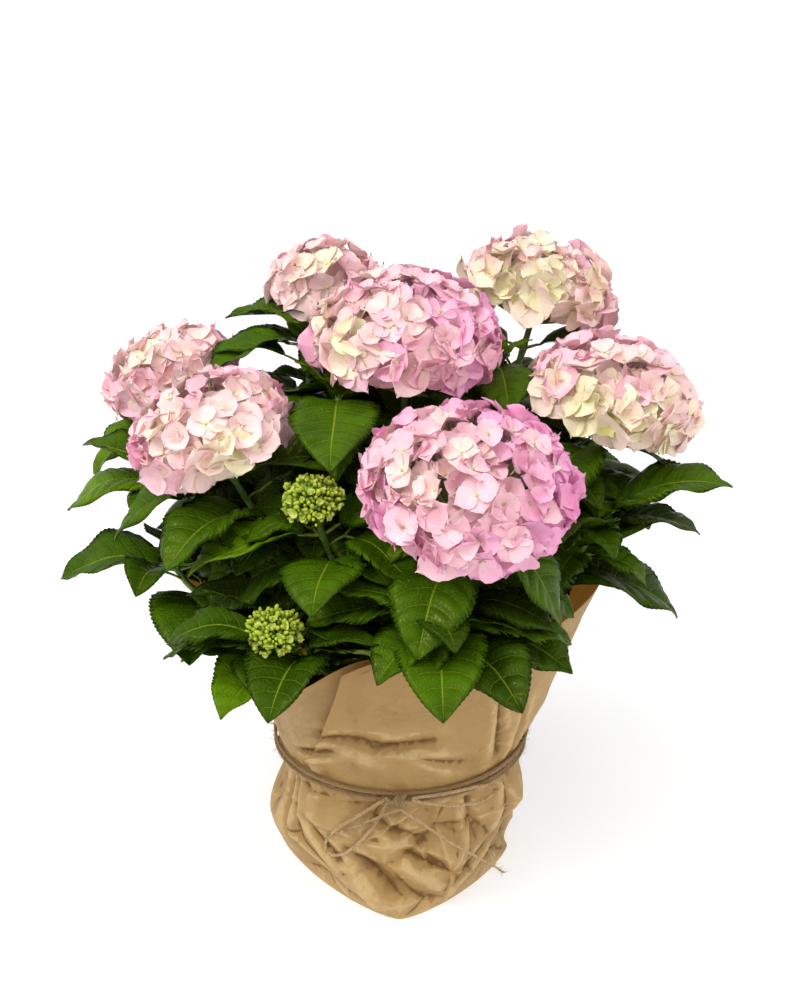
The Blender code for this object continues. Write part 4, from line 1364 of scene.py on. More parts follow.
def rim_at(angle):
    """Height and radius of the collar's rim in that direction."""
    height, radius = RIM_HEIGHT, RIM_RADIUS
    for direction, rise, reach, sharpness in RIM_SWELLS:
        share = max(0, math.cos(angle - math.radians(direction))) ** sharpness
        height += rise * share
        radius += reach * share
    return height, radius


def wrap_point(angle, row):
    """A point of the paper's outer face: row 0 is the base's edge, the last is the rim."""
    if row <= WAIST_ROW:
        height, side, depth, power = WRAP_ROWS[row]
        ear_angle, ear_height, ear_reach, ear_half, ear_sharpness = EAR
        near = max(0, math.cos(angle - math.radians(ear_angle))) ** ear_sharpness
        level = max(0, 1 - abs(height - ear_height) / ear_half)
        radius = section(angle, side, depth, power) + ear_reach * near * level
    else:
        share = (row - WAIST_ROW) / COLLAR_ROWS
        rim_height, rim_radius = rim_at(angle)
        bow = COLLAR_BOW - COLLAR_BOW_SIDE * math.cos(angle)
        height = WAIST_HEIGHT + share * (rim_height - WAIST_HEIGHT)
        radius = WAIST_RADIUS + share**bow * (rim_radius - WAIST_RADIUS)
    return Vector(ring_spot(radius, angle, height))


def wrap_radius(angle, height):
    """The outer radius of the paper at that height, up to the rim."""
    for row in range(LAST_ROW):
        low, high = wrap_point(angle, row), wrap_point(angle, row + 1)
        if height <= high.z:
            share = (height - low.z) / (high.z - low.z)
            return low.xy.length + share * (high.xy.length - low.xy.length)
    return high.xy.length


def sheet_x(degrees):
    """The run round the sheet, from its seam, of a direction."""
    return (math.radians(degrees) - SEAM) % math.tau * WAIST_RADIUS


def scattered(spacings, rng):
    """Uneven spots all over the sheet inside its borders, band by band."""
    low = 0.0
    for band, spacing in zip(BANDS, spacings):
        columns = round(AROUND / spacing[0])
        rows = max(1, round((band.top - low) / spacing[1]))
        for row in range(rows):
            for column in range(columns):
                x = (column + 0.25 + 0.5 * (row % 2) + varied(rng, 0.36)) * AROUND / columns
                y = low + (row + 0.5 + varied(rng, 0.36)) * (band.top - low) / rows
                inside = BORDER < x < AROUND - BORDER and BORDER < y < RIM_HEIGHT - BORDER
                if inside:
                    yield x, y
        low = band.top


class Net:
    """Folds of a crumpled sheet laid flat: corners with heights from -1 to 1, joined by straight
    folds and flat between them."""

    def __init__(self, corners, heights, folds):
        spots, edges, faces, sources, _, _ = delaunay_2d_cdt(
            [Vector(corner) for corner in corners], folds, [], 0, 1e-6
        )
        self.spots = np.array([tuple(spot) for spot in spots])
        self.heights = np.array([heights[source[0]] for source in sources])
        self.edges = [tuple(edge) for edge in edges]
        self.faces = [tuple(face) for face in faces]

    def height(self, x, y):
        """The heights over points of the sheet."""
        found = np.zeros(len(x))
        order = np.argsort(y)
        levels = y[order]
        for face in self.faces:
            a, b, c = self.spots[list(face)]
            area = (b[0] - a[0]) * (c[1] - a[1]) - (b[1] - a[1]) * (c[0] - a[0])
            low = np.searchsorted(levels, min(a[1], b[1], c[1]) - 1e-7)
            high = np.searchsorted(levels, max(a[1], b[1], c[1]) + 1e-7, "right")
            near = order[low:high]
            left, right = min(a[0], b[0], c[0]) - 1e-7, max(a[0], b[0], c[0]) + 1e-7
            near = near[(x[near] >= left) & (x[near] <= right)]
            px, py = x[near], y[near]
            second = ((px - a[0]) * (c[1] - a[1]) - (py - a[1]) * (c[0] - a[0])) / area
            third = ((b[0] - a[0]) * (py - a[1]) - (b[1] - a[1]) * (px - a[0])) / area
            inside = (second >= -1e-4) & (third >= -1e-4) & (second + third <= 1.0001)
            height = self.heights[list(face)] @ np.array([1 - second - third, second, third])
            found[near[inside]] = height[inside]
        return found


def crumpled_net():
    """Large facets over the whole sheet, each broken into smaller and shallower ones."""
    rng = random.Random("creases")
    corners, heights = [], []
    for place in range(SEAM_CORNERS):
        height = rng.uniform(-1, 1)
        for x in (0, AROUND):
            corners.append((x, RIM_HEIGHT * place / (SEAM_CORNERS - 1)))
            heights.append(height)
    for y in (0, RIM_HEIGHT):
        for column in range(1, EDGE_CORNERS):
            corners.append((AROUND * column / EDGE_CORNERS, y))
            heights.append(rng.uniform(-1, 1))
    for spot in scattered([band.large for band in BANDS], rng):
        corners.append(spot)
        heights.append(rng.uniform(-1, 1))
    large = Net(corners, heights, [])
    spots = np.array(list(scattered([band.small for band in BANDS], rng)))
    clear = np.full(len(spots), True)
    for first, second in large.edges:
        a, b = large.spots[first], large.spots[second]
        share = np.clip((spots - a) @ (b - a) / ((b - a) @ (b - a)), 0, 1)
        clear &= np.linalg.norm(spots - a - share[:, None] * (b - a), axis=1) > CLEAR_OF_FOLD
    spots = spots[clear]
    small = large.height(spots[:, 0], spots[:, 1])
    small += [rng.uniform(-1, 1) * SMALL_FOLD for _ in spots]
    corners = [tuple(spot) for spot in large.spots] + [tuple(spot) for spot in spots]
    return Net(corners, [*large.heights, *small], large.edges)


def chain(start, end):
    """Points from start to end, a fold's step apart."""
    start, end = Vector(start), Vector(end)
    count = max(1, math.ceil((end - start).length / FOLD_STEP))
    return [start.lerp(end, step / count) for step in range(count + 1)]


def cut_sheet(net, lines):
    """The sheet as small triangles that keep to its folds and some lines: x, y, corners."""
    rng = random.Random("points")
    runs = [chain(net.spots[first], net.spots[second]) for first, second in net.edges]
    for line in lines:
        for start, end in zip(line, line[1:]):
            runs.append(chain(start, end))
    points, edges = [], []
    for run in runs:
        edges += [(len(points) + step, len(points) + step + 1) for step in range(len(run) - 1)]
        points += run
    near = tree_of([(*point, 0) for point in points])
    spacings = [(band.points, band.points) for band in BANDS]
    for x, y in scattered(spacings, rng):
        if near.find((x, y, 0))[2] > 0.62 * FOLD_STEP:
            points.append(Vector((x, y)))
    spots, _, faces, _, _, _ = delaunay_2d_cdt(points, edges, [], 0, 1e-5)
    spots = np.array([tuple(spot) for spot in spots])
    faces = np.array([tuple(face) for face in faces])
    a, b, c = (spots[faces[:, corner]] for corner in range(3))
    area = (b[:, 0] - a[:, 0]) * (c[:, 1] - a[:, 1]) - (b[:, 1] - a[:, 1]) * (c[:, 0] - a[:, 0])
    return spots[:, 0], spots[:, 1], faces[np.abs(area) > 1e-10]


def gathers(angle, seed):
    """Uneven pleats round the waist, from -1 in a valley to 1 on a ridge."""
    rng = random.Random(seed)
    total = np.zeros(len(angle))
    for waves in (17, 23, 31, 41):
        total += np.sin(waves * angle + rng.uniform(0, math.tau)) * rng.uniform(0.6, 1.0)
    return np.clip(total / 2.2, -1, 1)


# Deep creases: the direction and height of each end in degrees and metres, depth and width.
Crease = namedtuple("Crease", "start end depth width")
CREASES = [Crease(*row) for row in (
    ((-110, 0.062), (-90, 0.024), 0.0090, 0.012),
    ((-86, 0.062), (-62, 0.034), 0.0080, 0.010),
    ((-101, 0.096), (-78, 0.070), 0.0050, 0.008),
    ((-58, 0.104), (-50, 0.060), 0.0045, 0.008),
    ((-146, 0.112), (-140, 0.060), 0.0050, 0.007),
    ((-160, 0.108), (-152, 0.056), 0.0050, 0.008),
    ((-132, 0.080), (-112, 0.050), 0.0040, 0.007),
    ((-36, 0.106), (-30, 0.050), 0.0045, 0.008),
    ((-60, 0.030), (-30, 0.046), 0.0040, 0.008),
    ((-135, 0.024), (-110, 0.014), 0.0035, 0.007),
    ((-122, 0.178), (-96, 0.158), 0.0055, 0.010),
    ((-98, 0.160), (-74, 0.166), 0.0040, 0.008),
    ((-140, 0.150), (-118, 0.162), 0.0045, 0.008),
    ((-46, 0.190), (-40, 0.132), 0.0050, 0.008),
    ((-30, 0.176), (-28, 0.130), 0.0050, 0.007),
    ((-80, 0.150), (-58, 0.140), 0.0030, 0.007),
    ((30, 0.100), (52, 0.050), 0.0050, 0.009),
    ((84, 0.062), (106, 0.032), 0.0055, 0.009),
    ((120, 0.100), (132, 0.054), 0.0045, 0.008),
    ((70, 0.172), (92, 0.150), 0.0045, 0.009),
    ((150, 0.200), (156, 0.140), 0.0045, 0.008),
    ((8, 0.210), (14, 0.140), 0.0045, 0.008),
)]


CREASE_PAST = 0.25  # how far a deep crease runs on, of its length
CREASE_FADES = 0.45  # and over how much it fades
CREASE_RIDGE = 0.45  # height of the ridge beside it, of its depth


def crease_ends(crease):
    """Both ends of a deep crease on the flat sheet."""
    return [np.array((sheet_x(degrees), height)) for degrees, height in (crease.start, crease.end)]


def crease_line(crease):
    """A deep crease on the flat sheet, carried on a little past both ends."""
    start, end = crease_ends(crease)
    run = (end - start) * CREASE_PAST
    return np.clip([start - run, end + run], 0.001, (AROUND - 0.001, RIM_HEIGHT - 0.001))


def pressed(x, y):
    """How far the deep creases press the sheet in, with a low ridge along each one's side."""
    total = np.zeros(len(x))
    for crease in CREASES:
        start, end = crease_ends(crease)
        length = np.linalg.norm(end - start)
        run = (end - start) / length
        along = ((x - start[0]) * run[0] + (y - start[1]) * run[1]) / length
        across = (x - start[0]) * run[1] - (y - start[1]) * run[0]
        inside = np.minimum(along + CREASE_PAST, 1 + CREASE_PAST - along)
        ends = np.clip(inside / CREASE_FADES, 0, 1)
        width = crease.width * (0.6 + 0.6 * np.clip(along, 0, 1))
        valley = np.clip(1 - np.abs(across) / width, 0, 1)
        ridge = np.clip(1 - np.abs(across - 1.5 * width) / width, 0, 1)
        total += ends * crease.depth * (valley - CREASE_RIDGE * ridge)
    return total


def smooth_sheet(angle, y):
    """Radius and height of the sheet before it is crumpled."""
    turns = np.arange(BASE_COLUMNS) * math.tau / BASE_COLUMNS
    grid = np.array([[wrap_point(turn, row) for turn in turns] for row in range(LAST_ROW + 1)])
    grid = np.stack([np.hypot(grid[..., 0], grid[..., 1]), grid[..., 2]], -1)
    levels = [height for height, _, _, _ in WRAP_ROWS]
    collar = (y - WAIST_HEIGHT) / (RIM_HEIGHT - WAIST_HEIGHT) * COLLAR_ROWS
    row = np.where(y < WAIST_HEIGHT, np.interp(y, levels, range(len(levels))), WAIST_ROW + collar)
    place = angle % math.tau / math.tau * BASE_COLUMNS
    column = place.astype(int) % BASE_COLUMNS
    beside = (column + 1) % BASE_COLUMNS
    part = (place % 1)[:, None]
    low = np.clip(np.floor(row).astype(int), 0, LAST_ROW - 1)
    share = (row - low)[:, None]
    rows = (np.maximum(low - 1, 0), low, low + 1, np.minimum(low + 2, LAST_ROW))
    spots = (grid[r, column] * (1 - part) + grid[r, beside] * part for r in rows)
    return smooth_run(*spots, share).T


CREASED_IN = 0.35  # how far the body's facets lie inward, of their depth
RIM_EASE = 0.05  # over this the creases ease off at the rim
FLOOR_EASE = 0.014  # and at the floor
TWINE_HELD = 0.005  # this near the twine the sheet is smooth,
TWINE_EASE = 0.014  # and its creases come back over this
PLEAT_RUN = 0.015  # how far the pleats run on
TWINE_BITE = 0.0008  # how deep and wide the twine presses in
BITE_WIDTH = 0.006
SMOOTH_FRONT = (-80, 34)  # where the sheet is least gathered, and how widely


def folded_points(x, y, net, settings, off=0.0):
    """Points of the crumpled sheet's outer face, moved out by off, as (n, 3)."""
    angle = SEAM + x / WAIST_RADIUS
    radius, height = smooth_sheet(angle, y)
    facets = net.height(x, y)
    below = y < WAIST_HEIGHT
    off_waist = np.abs(y - WAIST_HEIGHT)
    rim = np.clip((y - RIM_HEIGHT + RIM_EASE) / RIM_EASE, 0, 1)
    floor = np.clip(y / FLOOR_EASE, 0, 1)
    body = (facets - CREASED_IN) * settings.crease_depth * floor
    push = np.where(below, body, facets * settings.collar_crease * (1 - 0.4 * rim))
    push -= pressed(x, y) * floor
    push *= np.clip((off_waist - TWINE_HELD) / TWINE_EASE, 0, 1)
    spread = np.exp(-np.maximum(0, off_waist - 0.004) / PLEAT_RUN)
    close = np.clip((off_waist - 0.0035) / 0.009, 0, 1)
    apart = (np.degrees(angle) - SMOOTH_FRONT[0] + 180) % 360 - 180
    gathered = 1 - np.where(below, 0.35, 0.75) * np.exp(-(apart / SMOOTH_FRONT[1]) ** 2)
    push += (gathers(angle, "pleats") - 0.3) * settings.pleat_depth * spread * close * gathered
    push -= np.exp(-(off_waist / BITE_WIDTH) ** 2) * TWINE_BITE
    reach = radius + push + off
    return np.stack([reach * np.cos(angle), reach * np.sin(angle), np.maximum(height, 0)], 1)


SHARP_CREASE = math.radians(8)  # below this, facets are shaded as one
# How far round a vertex the sheet's level is taken, in edges, and the height that counts as full:
# close by for the folds' own lines, further off for the hollows between them.
FOLD_LEVELS = {1: ("fold", 0.0014), 10: ("hollow", 0.0050)}
# The overlapping front flap: where it starts and ends round the wrap, in degrees, at its
# foot and at the rim, and how far its free edge stands off.
FLAP_FOOT = (-150, -52)
FLAP_TOP = (-108, -52)
FLAP_LOW = WAIST_HEIGHT + 0.0025
FLAP_PROUD = 0.016
FLAP_SUNK = 0.0006  # how far its held edges sink in
FLAP_CLEAR = 0.0012  # how far its middle stands off


def flap_side(end, up):
    """How far round the sheet a side edge of the flap lies, at shares of its height."""
    bow = 0.55 if end == 0 else 1
    degrees = FLAP_FOOT[end] + (FLAP_TOP[end] - FLAP_FOOT[end]) * up**bow
    return (np.radians(degrees) - SEAM) % math.tau * WAIST_RADIUS


def flap_lines():
    """The flap's two sides and its foot, as lines on the sheet."""
    up = np.linspace(0, 1, 25)
    y = FLAP_LOW + (RIM_HEIGHT - FLAP_LOW) * up
    sides = [np.stack([flap_side(end, up), y], 1) for end in range(2)]
    return [*sides, np.array([sides[0][0], sides[1][0]])]


def flap_place(x, y):
    """Shares of the flap's height and width, beyond 0 and 1 outside it."""
    up = (y - FLAP_LOW) / (RIM_HEIGHT - FLAP_LOW)
    first, last = (flap_side(end, np.clip(up, 0, 1)) for end in range(2))
    return up, (x - first) / (last - first)


def flap_lift(x, y):
    """How far the flap stands off: its foot and far edge are held, its near edge curls free."""
    up, share = flap_place(x, y)
    held = np.clip(up / 0.18, 0, 1) * np.clip((1 - share) / 0.25, 0, 1)
    free = np.clip(1 - share / 0.40, 0, 1) ** 2
    curl = FLAP_PROUD * free * np.clip(up, 0, 1)
    return held * (FLAP_CLEAR + FLAP_SUNK + curl) - FLAP_SUNK


def mark_folds(mesh):
    """Stores how far each vertex stands over the sheet round it, 0.5 where it lies level."""
    count = len(mesh.vertices)
    points, normals = np.empty(count * 3), np.empty(count * 3)
    mesh.vertices.foreach_get("co", points)
    mesh.vertices.foreach_get("normal", normals)
    points, normals = points.reshape(-1, 3), normals.reshape(-1, 3)
    ends = np.empty(len(mesh.edges) * 2, dtype=np.int64)
    mesh.edges.foreach_get("vertices", ends)
    first, second = ends[::2], ends[1::2]
    near = np.maximum(1, np.bincount(ends, minlength=count))
    smooth = points
    for step in range(max(FOLD_LEVELS)):
        sums = []
        for level in smooth.T:
            ahead = np.bincount(first, level[second], count)
            sums.append(ahead + np.bincount(second, level[first], count))
        smooth = np.stack(sums, 1) / near[:, None]
        if step + 1 in FOLD_LEVELS:
            name, full = FOLD_LEVELS[step + 1]
            height = ((points - smooth) * normals).sum(1)
            layer = mesh.attributes.new(name, "FLOAT", "POINT")
            layer.data.foreach_set("value", np.clip(0.5 + height / full, 0, 1).astype(np.float32))


def paper(name, points, faces):
    """A sheet of those faces, its seam closed."""
    used, corners = np.unique(faces, return_inverse=True)
    mesh = bpy.data.meshes.new(name)
    mesh.from_pydata(points[used].tolist(), [], corners.reshape(-1, 3).tolist())
    return merged(placed(name, mesh))


def close_base(obj):
    """Draws the sleeve's lower edge in to a flat floor, and turns all its faces outward."""
    bpy.ops.object.mode_set(mode="EDIT")
    bpy.ops.mesh.select_mode(type="EDGE")
    bpy.ops.mesh.select_all(action="DESELECT")
    bm = bmesh.from_edit_mesh(obj.data)
    for edge in bm.edges:
        edge.select_set(edge.is_boundary and all(vertex.co.z < 0.001 for vertex in edge.verts))
    bmesh.update_edit_mesh(obj.data)
    for ring in range(BASE_RINGS, 0, -1):
        bpy.ops.mesh.extrude_region_move()
        share = (ring - 1) / ring if ring > 1 else 0.02
        bpy.ops.transform.resize(value=(share, share, 1), center_override=(0, 0, 0))
    bpy.ops.mesh.merge(type="CENTER")
    bpy.ops.mesh.select_all(action="SELECT")
    bpy.ops.mesh.normals_make_consistent(inside=False)
    bpy.ops.object.mode_set(mode="OBJECT")
    outward = sum(face.normal.xy.dot(face.center.xy) for face in obj.data.polygons)
    if outward < 0:
        bpy.ops.object.mode_set(mode="EDIT")
        bpy.ops.mesh.flip_normals()
        bpy.ops.object.mode_set(mode="OBJECT")


def with_wall(obj, thickness):
    """Gives the sheet its thickness inward, the inner face in the second finish."""
    only(obj)
    wall = obj.modifiers.new("sheet", "SOLIDIFY")
    wall.thickness = thickness
    wall.offset = -1
    wall.material_offset = 1
    wall.material_offset_rim = 1
    bpy.ops.object.modifier_apply(modifier=wall.name)
    bpy.ops.object.shade_smooth_by_angle(angle=SHARP_CREASE)


# --- twine


def on_wrap(across, height, proud):
    """A point beside the knot, that far round the paper and standing that proud of it."""
    angle = KNOT_ANGLE + across / WAIST_RADIUS
    return Vector(ring_spot(wrap_radius(angle, height) + proud, angle, height))


def band_path(height, slope, proud):
    """A strand round the waist. Slope lifts it at the back and lowers it in front."""
    points = []
    for step in range(96):
        angle = step * math.tau / 96
        level = height + slope * math.sin(angle + 0.6)
        points.append(ring_spot(wrap_radius(angle, level) + proud, angle, level))
    return np.array(points)


def loop_path(reach, drop, width):
    """A bow loop over the strands: out from beside the knot and back, as a drop shape."""
    side = math.copysign(1, reach)
    start = side * (KNOT_RADIUS * KNOT_SHAPE[0] + TWINE_RADIUS + 2 * GAP)
    size = math.hypot(reach, drop)
    points = []
    for step in range(17):
        turn = math.tau * (step + 0.25) / 16.5
        out = (1 - math.cos(turn)) / 2
        spread = math.sin(turn) * width * (0.3 + 0.7 * out)
        across = start + out * reach + spread * drop / size * side
        height = WAIST_HEIGHT - out * drop + spread * abs(reach) / size
        points.append(on_wrap(across, height, LOOP_PROUD))
    return finer(points, 6)


def tail_path(reach, drop, sag):
    """A loose end that runs down from under the knot and stands off the paper by its sag."""
    top = WAIST_HEIGHT - KNOT_RADIUS * KNOT_SHAPE[2] - TWINE_RADIUS / 2 - GAP
    points = []
    for step in range(9):
        share = step / 8
        points.append(on_wrap(reach * share, top - drop * share**1.15, KNOT_PROUD + sag * share))
    return finer(points, 6)


def evenly(path, spacing, closed=False):
    """The path with its points that far apart."""
    if closed:
        path = np.vstack([path, path[:1]])
    steps = np.linalg.norm(np.diff(path, axis=0), axis=1)
    run = np.concatenate([[0], np.cumsum(steps)])
    count = max(4, round(run[-1] / spacing))
    places = np.linspace(0, run[-1], count + 1)
    if closed:
        places = places[:-1]
    return np.stack([np.interp(places, run, path[:, axis]) for axis in range(3)], 1)


TWIST_STEPS = 9  # points to a full twist
YARN_OFF = 0.62  # a yarn's distance from the middle, and radius, of the twine's
YARN_RADIUS = 0.50
FIBRE_RADII = (0.00016, 0.00012, 0.00005)


def twisted(path, radius, settings, seed, closed=False, taper=0.0):
    """The yarns of a length of twine, as (points, faces) for each."""
    rng = random.Random(seed)
    path = evenly(path, settings.pitch / TWIST_STEPS, closed)
    first, second = tube_frames(path, closed)
    turns = np.arange(len(path)) / TWIST_STEPS
    if closed:
        turns = np.linspace(0, round(turns[-1]), len(path), endpoint=False)
    shrink = 1 - taper * np.linspace(0, 1, len(path))
    off = radius * YARN_OFF * shrink
    for ply in range(settings.plies):
        phase = math.tau * (turns + ply / settings.plies) + rng.uniform(0, 0.2)
        centre = path + first * (np.cos(phase) * off)[:, None]
        centre = centre + second * (np.sin(phase) * off)[:, None]
        wobble = np.array([1 + 0.30 * noise.noise(Vector(point) * 500) for point in centre])
        yield tube(centre, radius * YARN_RADIUS * shrink * wobble, 6, closed)


def loose_fibres(paths, count, seed):
    """Short thin fibres that stand off the twine."""
    rng = random.Random(seed)
    for _ in range(count):
        path = rng.choice(paths)
        start = path[rng.randrange(len(path))]
        out = Vector((start[0], start[1], 0)).normalized()
        along = out.cross(UP)
        drift = out * rng.uniform(0.2, 1) + along * varied(rng, 1.4) + UP * varied(rng, 1)
        length = rng.uniform(0.003, 0.009)
        droop = Vector(varied(rng, 1) for _ in range(3)) * length * 0.35
        begin = Vector(start)
        end = begin + drift.normalized() * length
        middle = begin.lerp(end, 0.5) + droop
        yield tube([begin, middle, end], FIBRE_RADII, 3)


# --- operators


class Piece(bpy.types.Operator):
    """Base of the plant's operators"""

    bl_options = {"REGISTER", "UNDO"}

    @classmethod
    def poll(cls, context):
        return context.mode == "OBJECT"


CAMERA_SENSOR = 36
CAMERA_LENS = 63.7
CAMERA_PLACE = (0, -1.3, 0.90)
CAMERA_PITCH = 23.67
FLOOR_DROP = 0.0004
FLOOR_SPECKS = (0.48, 0.48, 0.48)
LAMP_AIM = Vector((0, 0, 0.25))
CEILING_TILT = (math.radians(22), math.radians(-14), 0)
CEILING_SPREAD = math.radians(60)


def lamp(name, place, power, size):
    """A square soft light aimed at the plant's middle."""
    data = bpy.data.lights.new(name, "AREA")
    data.energy = power
    data.size = size
    obj = placed(name, data)
    obj.location = place
    obj.rotation_euler = (LAMP_AIM - Vector(place)).to_track_quat("-Z", "Y").to_euler()


class HYDRANGEA_OT_stage(Piece):
    """Sets the camera, a pale floor and soft light"""

    bl_idname = "hydrangea.stage"
    bl_label = "Stage"

    def execute(self, context):
        settings = context.scene.hydrangea_stage
        data = bpy.data.cameras.new("camera")
        data.sensor_fit = "VERTICAL"
        data.sensor_height = CAMERA_SENSOR
        data.lens = CAMERA_LENS
        camera = placed("camera", data)
        camera.location = CAMERA_PLACE
        camera.rotation_euler = (math.radians(90 - CAMERA_PITCH), 0, 0)
        context.scene.camera = camera
        self.floor(context, settings)
        context.scene.world = self.sky(settings)
        context.scene.view_settings.view_transform = "Standard"
        lamp("key_light", (-1.0, -0.7, 1.5), settings.key, 0.6)
        lamp("fill_light", (1.5, -0.9, 1.2), settings.fill, 1.2)
        data = bpy.data.lights.new("ceiling_light", "SUN")
        data.energy = settings.ceiling
        data.angle = CEILING_SPREAD
        placed("ceiling_light", data).rotation_euler = CEILING_TILT
        return {"FINISHED"}

    def floor(self, context, settings):
        """A wide pale floor just under the plant."""
        bpy.ops.object.select_all(action="DESELECT")
        bpy.ops.mesh.primitive_plane_add(size=settings.floor, location=(0, 0, -FLOOR_DROP))
        floor = context.object
        floor.name = "floor"
        finish = Finish("pale_floor")
        specks = finish.grain(6, 2) * 0.04
        tone = finish.blend(specks, tuple(settings.floor_colour), FLOOR_SPECKS)
        finish.shade(Emission_Color=(1.0, 1.0, 1.0), Emission_Strength=settings.floor_glow)
        floor.data.materials.append(finish.shade(Base_Color=tone, Roughness=0.9))
        floor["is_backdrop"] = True

    def sky(self, settings):
        """An even sky, full white where it is the background."""
        world = bpy.data.worlds.new("soft_sky")
        world.use_nodes = True
        tree = world.node_tree
        sky = tree.nodes["Background"]
        sky.inputs["Color"].default_value = (1, 1, 1, 1)
        seen = tree.nodes.new("ShaderNodeLightPath")
        strength = tree.nodes.new("ShaderNodeMapRange")
        strength.inputs["To Min"].default_value = settings.sky
        tree.links.new(seen.outputs["Is Camera Ray"], strength.inputs["Value"])
        tree.links.new(strength.outputs["Result"], sky.inputs["Strength"])
        return world


SOIL_RINGS = 26
SOIL_SIDES = 72
SOIL_EDGE = 0.985  # reach of its surface and underside, of the solid's
SOIL_FOOT = 0.86
SOIL_SUNK = 0.0015
SOIL_DOME = 0.006


class HYDRANGEA_OT_potting(Piece):
    """Finishes the nursery pot and lays crumbly soil in it"""

    bl_idname = "hydrangea.potting"
    bl_label = "Pot and soil"

    def execute(self, context):
        settings = context.scene.hydrangea_potting
        finish = satin_finish("pot_plastic", settings.pot_colour, 0.7)
        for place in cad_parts["nursery_pot"].material_slots:
            place.material = finish
        soil = soil_finish("moist_soil", settings.soil_colour)
        low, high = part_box("potting_soil")
        radius = (high.x - low.x) / 2
        self.surface(soil, radius, low.z)
        self.crumbs(soil, radius, settings.crumbs)
        return {"FINISHED"}

    @staticmethod
    def dome(share):
        """How far the soil has sunk towards the pot's wall."""
        return SOIL_DOME * max(0, (share - 0.55) / 0.45)

    def surface(self, soil, radius, floor):
        """The rough, slightly domed filling of the pot."""
        angles = [math.tau * side / SOIL_SIDES for side in range(SOIL_SIDES)]
        points = []
        for row in range(SOIL_RINGS + 1):
            share = row / SOIL_RINGS
            for angle in angles:
                spot = Vector(ring_spot(1, angle)) * radius * SOIL_EDGE * share
                rough = noise.fractal(spot * 60, 1.0, 2.0, 4) * 0.0022 * min(1, (1 - share) * 8)
                height = SOIL_TOP - SOIL_SUNK - self.dome(share) + rough
                points.append((spot.x, spot.y, height))
        points += [ring_spot(radius * SOIL_FOOT, angle, floor) for angle in angles]
        points.append((0, 0, floor))
        faces = []
        for low in range(0, SOIL_RINGS * SOIL_SIDES, SOIL_SIDES):
            high = low + SOIL_SIDES
            for side in range(SOIL_SIDES):
                beside = (side + 1) % SOIL_SIDES
                faces.append((low + side, high + side, high + beside, low + beside))
        foot = (SOIL_RINGS + 1) * SOIL_SIDES
        middle = len(points) - 1
        faces += [(foot + c, middle, foot + (c + 1) % SOIL_SIDES) for c in range(SOIL_SIDES)]
        heap = Heap()
        heap.add(points, faces)
        merged(heap.piece("soil_surface", soil, "soil", ["potting_soil"]))

    def crumbs(self, soil, radius, count):
        """Loose crumbs on the soil."""
        heap = Heap()
        rng = random.Random("crumbs")
        points, faces = ball(6, 4)
        for _ in range(count):
            reach = radius * 0.93 * math.sqrt(rng.random())
            angle = rng.uniform(0, math.tau)
            size = rng.uniform(0.0008, 0.0032)
            squash = np.array([rng.uniform(0.7, 1.3) for _ in range(3)])
            place = ring_spot(reach, angle, SOIL_TOP - 0.001 - self.dome(reach / radius))
            heap.add(points * squash * size + place, faces)
        heap.piece("soil_crumbs", soil, "soil", [], smooth=False)


INNER_PAINTED_GLOW = 0.25  # painted glow, standing in for light that comes through the paper


class HYDRANGEA_OT_wrap(Piece):
    """Folds the kraft sheet round the pot, crumpled below the twine and flared above"""

    bl_idname = "hydrangea.wrap"
    bl_label = "Paper wrap"

    def execute(self, context):
        settings = context.scene.hydrangea_wrap
        outer = kraft_finish("kraft_outside", settings.colour)
        inner = kraft_finish("kraft_inside", settings.inner_colour, INNER_PAINTED_GLOW)
        net = crumpled_net()
        x, y, faces = cut_sheet(net, [crease_line(crease) for crease in CREASES] + flap_lines())
        sleeve = paper("kraft_wrap", folded_points(x, y, net, settings), faces)
        close_base(sleeve)
        up, share = flap_place(x[faces].mean(1), y[faces].mean(1))
        front = faces[(up > 0) & (share > 0) & (share < 1)]
        flap = paper("kraft_flap", folded_points(x, y, net, settings, flap_lift(x, y)), front)
        for sheet in (sleeve, flap):
            mark_folds(sheet.data)
            sheet.data.materials.append(outer)
            sheet.data.materials.append(inner)
            with_wall(sheet, settings.thickness)
            settled(sheet, ["paper_wrap"])
        return {"FINISHED"}


# The strands round the waist: height from its middle, slope, and the solid each stands for.
STRANDS = {
    "twine_round_lower": (-0.0020, 0.0006, "twine_strand_1"),
    "twine_round_upper": (0.0020, -0.0008, "twine_strand_2"),
    "twine_round_top": (0.0046, 0.0022, "twine_strand_2"),
    "twine_round_foot": (-0.0044, -0.0016, "twine_strand_1"),
}
# The bow: each end's run and its measures, how much it tapers, and the solid it stands for.
BOW = {
    "bow_loop_left": (loop_path, (-0.048, 0.060, 0.013), 0.0, ["twine_loop_left"]),
    "bow_loop_right": (loop_path, (0.070, 0.010, 0.009), 0.0, ["twine_loop_right"]),
    "bow_tail_right": (tail_path, (0.085, 0.086, 0.012), 0.35, ["twine_tail_right"]),
    "bow_tail_left": (tail_path, (-0.042, 0.024, 0.004), 0.45, []),
}
# The twine's thickness in the strands, the bow and the knot, of its solid's.
STRAND_SIZE, BOW_SIZE, KNOT_SIZE = 0.80, 0.84, 0.90
KNOT_COILS = 3
KNOT_COIL_STEPS = 24


def knot_coil(number):
    """One of the turns that make the knot, side by side."""
    middle = on_wrap(0, WAIST_HEIGHT, KNOT_PROUD)
    coil = []
    for step in range(KNOT_COIL_STEPS):
        angle = math.tau * step / KNOT_COIL_STEPS
        x = middle.x + (number - 1) * 0.0026 + 0.0010 * math.sin(angle * 2)
        y = middle.y + math.cos(angle) * KNOT_RADIUS * 0.62
        coil.append((x, y, middle.z + math.sin(angle) * KNOT_RADIUS * 0.72))
    return np.array(coil)


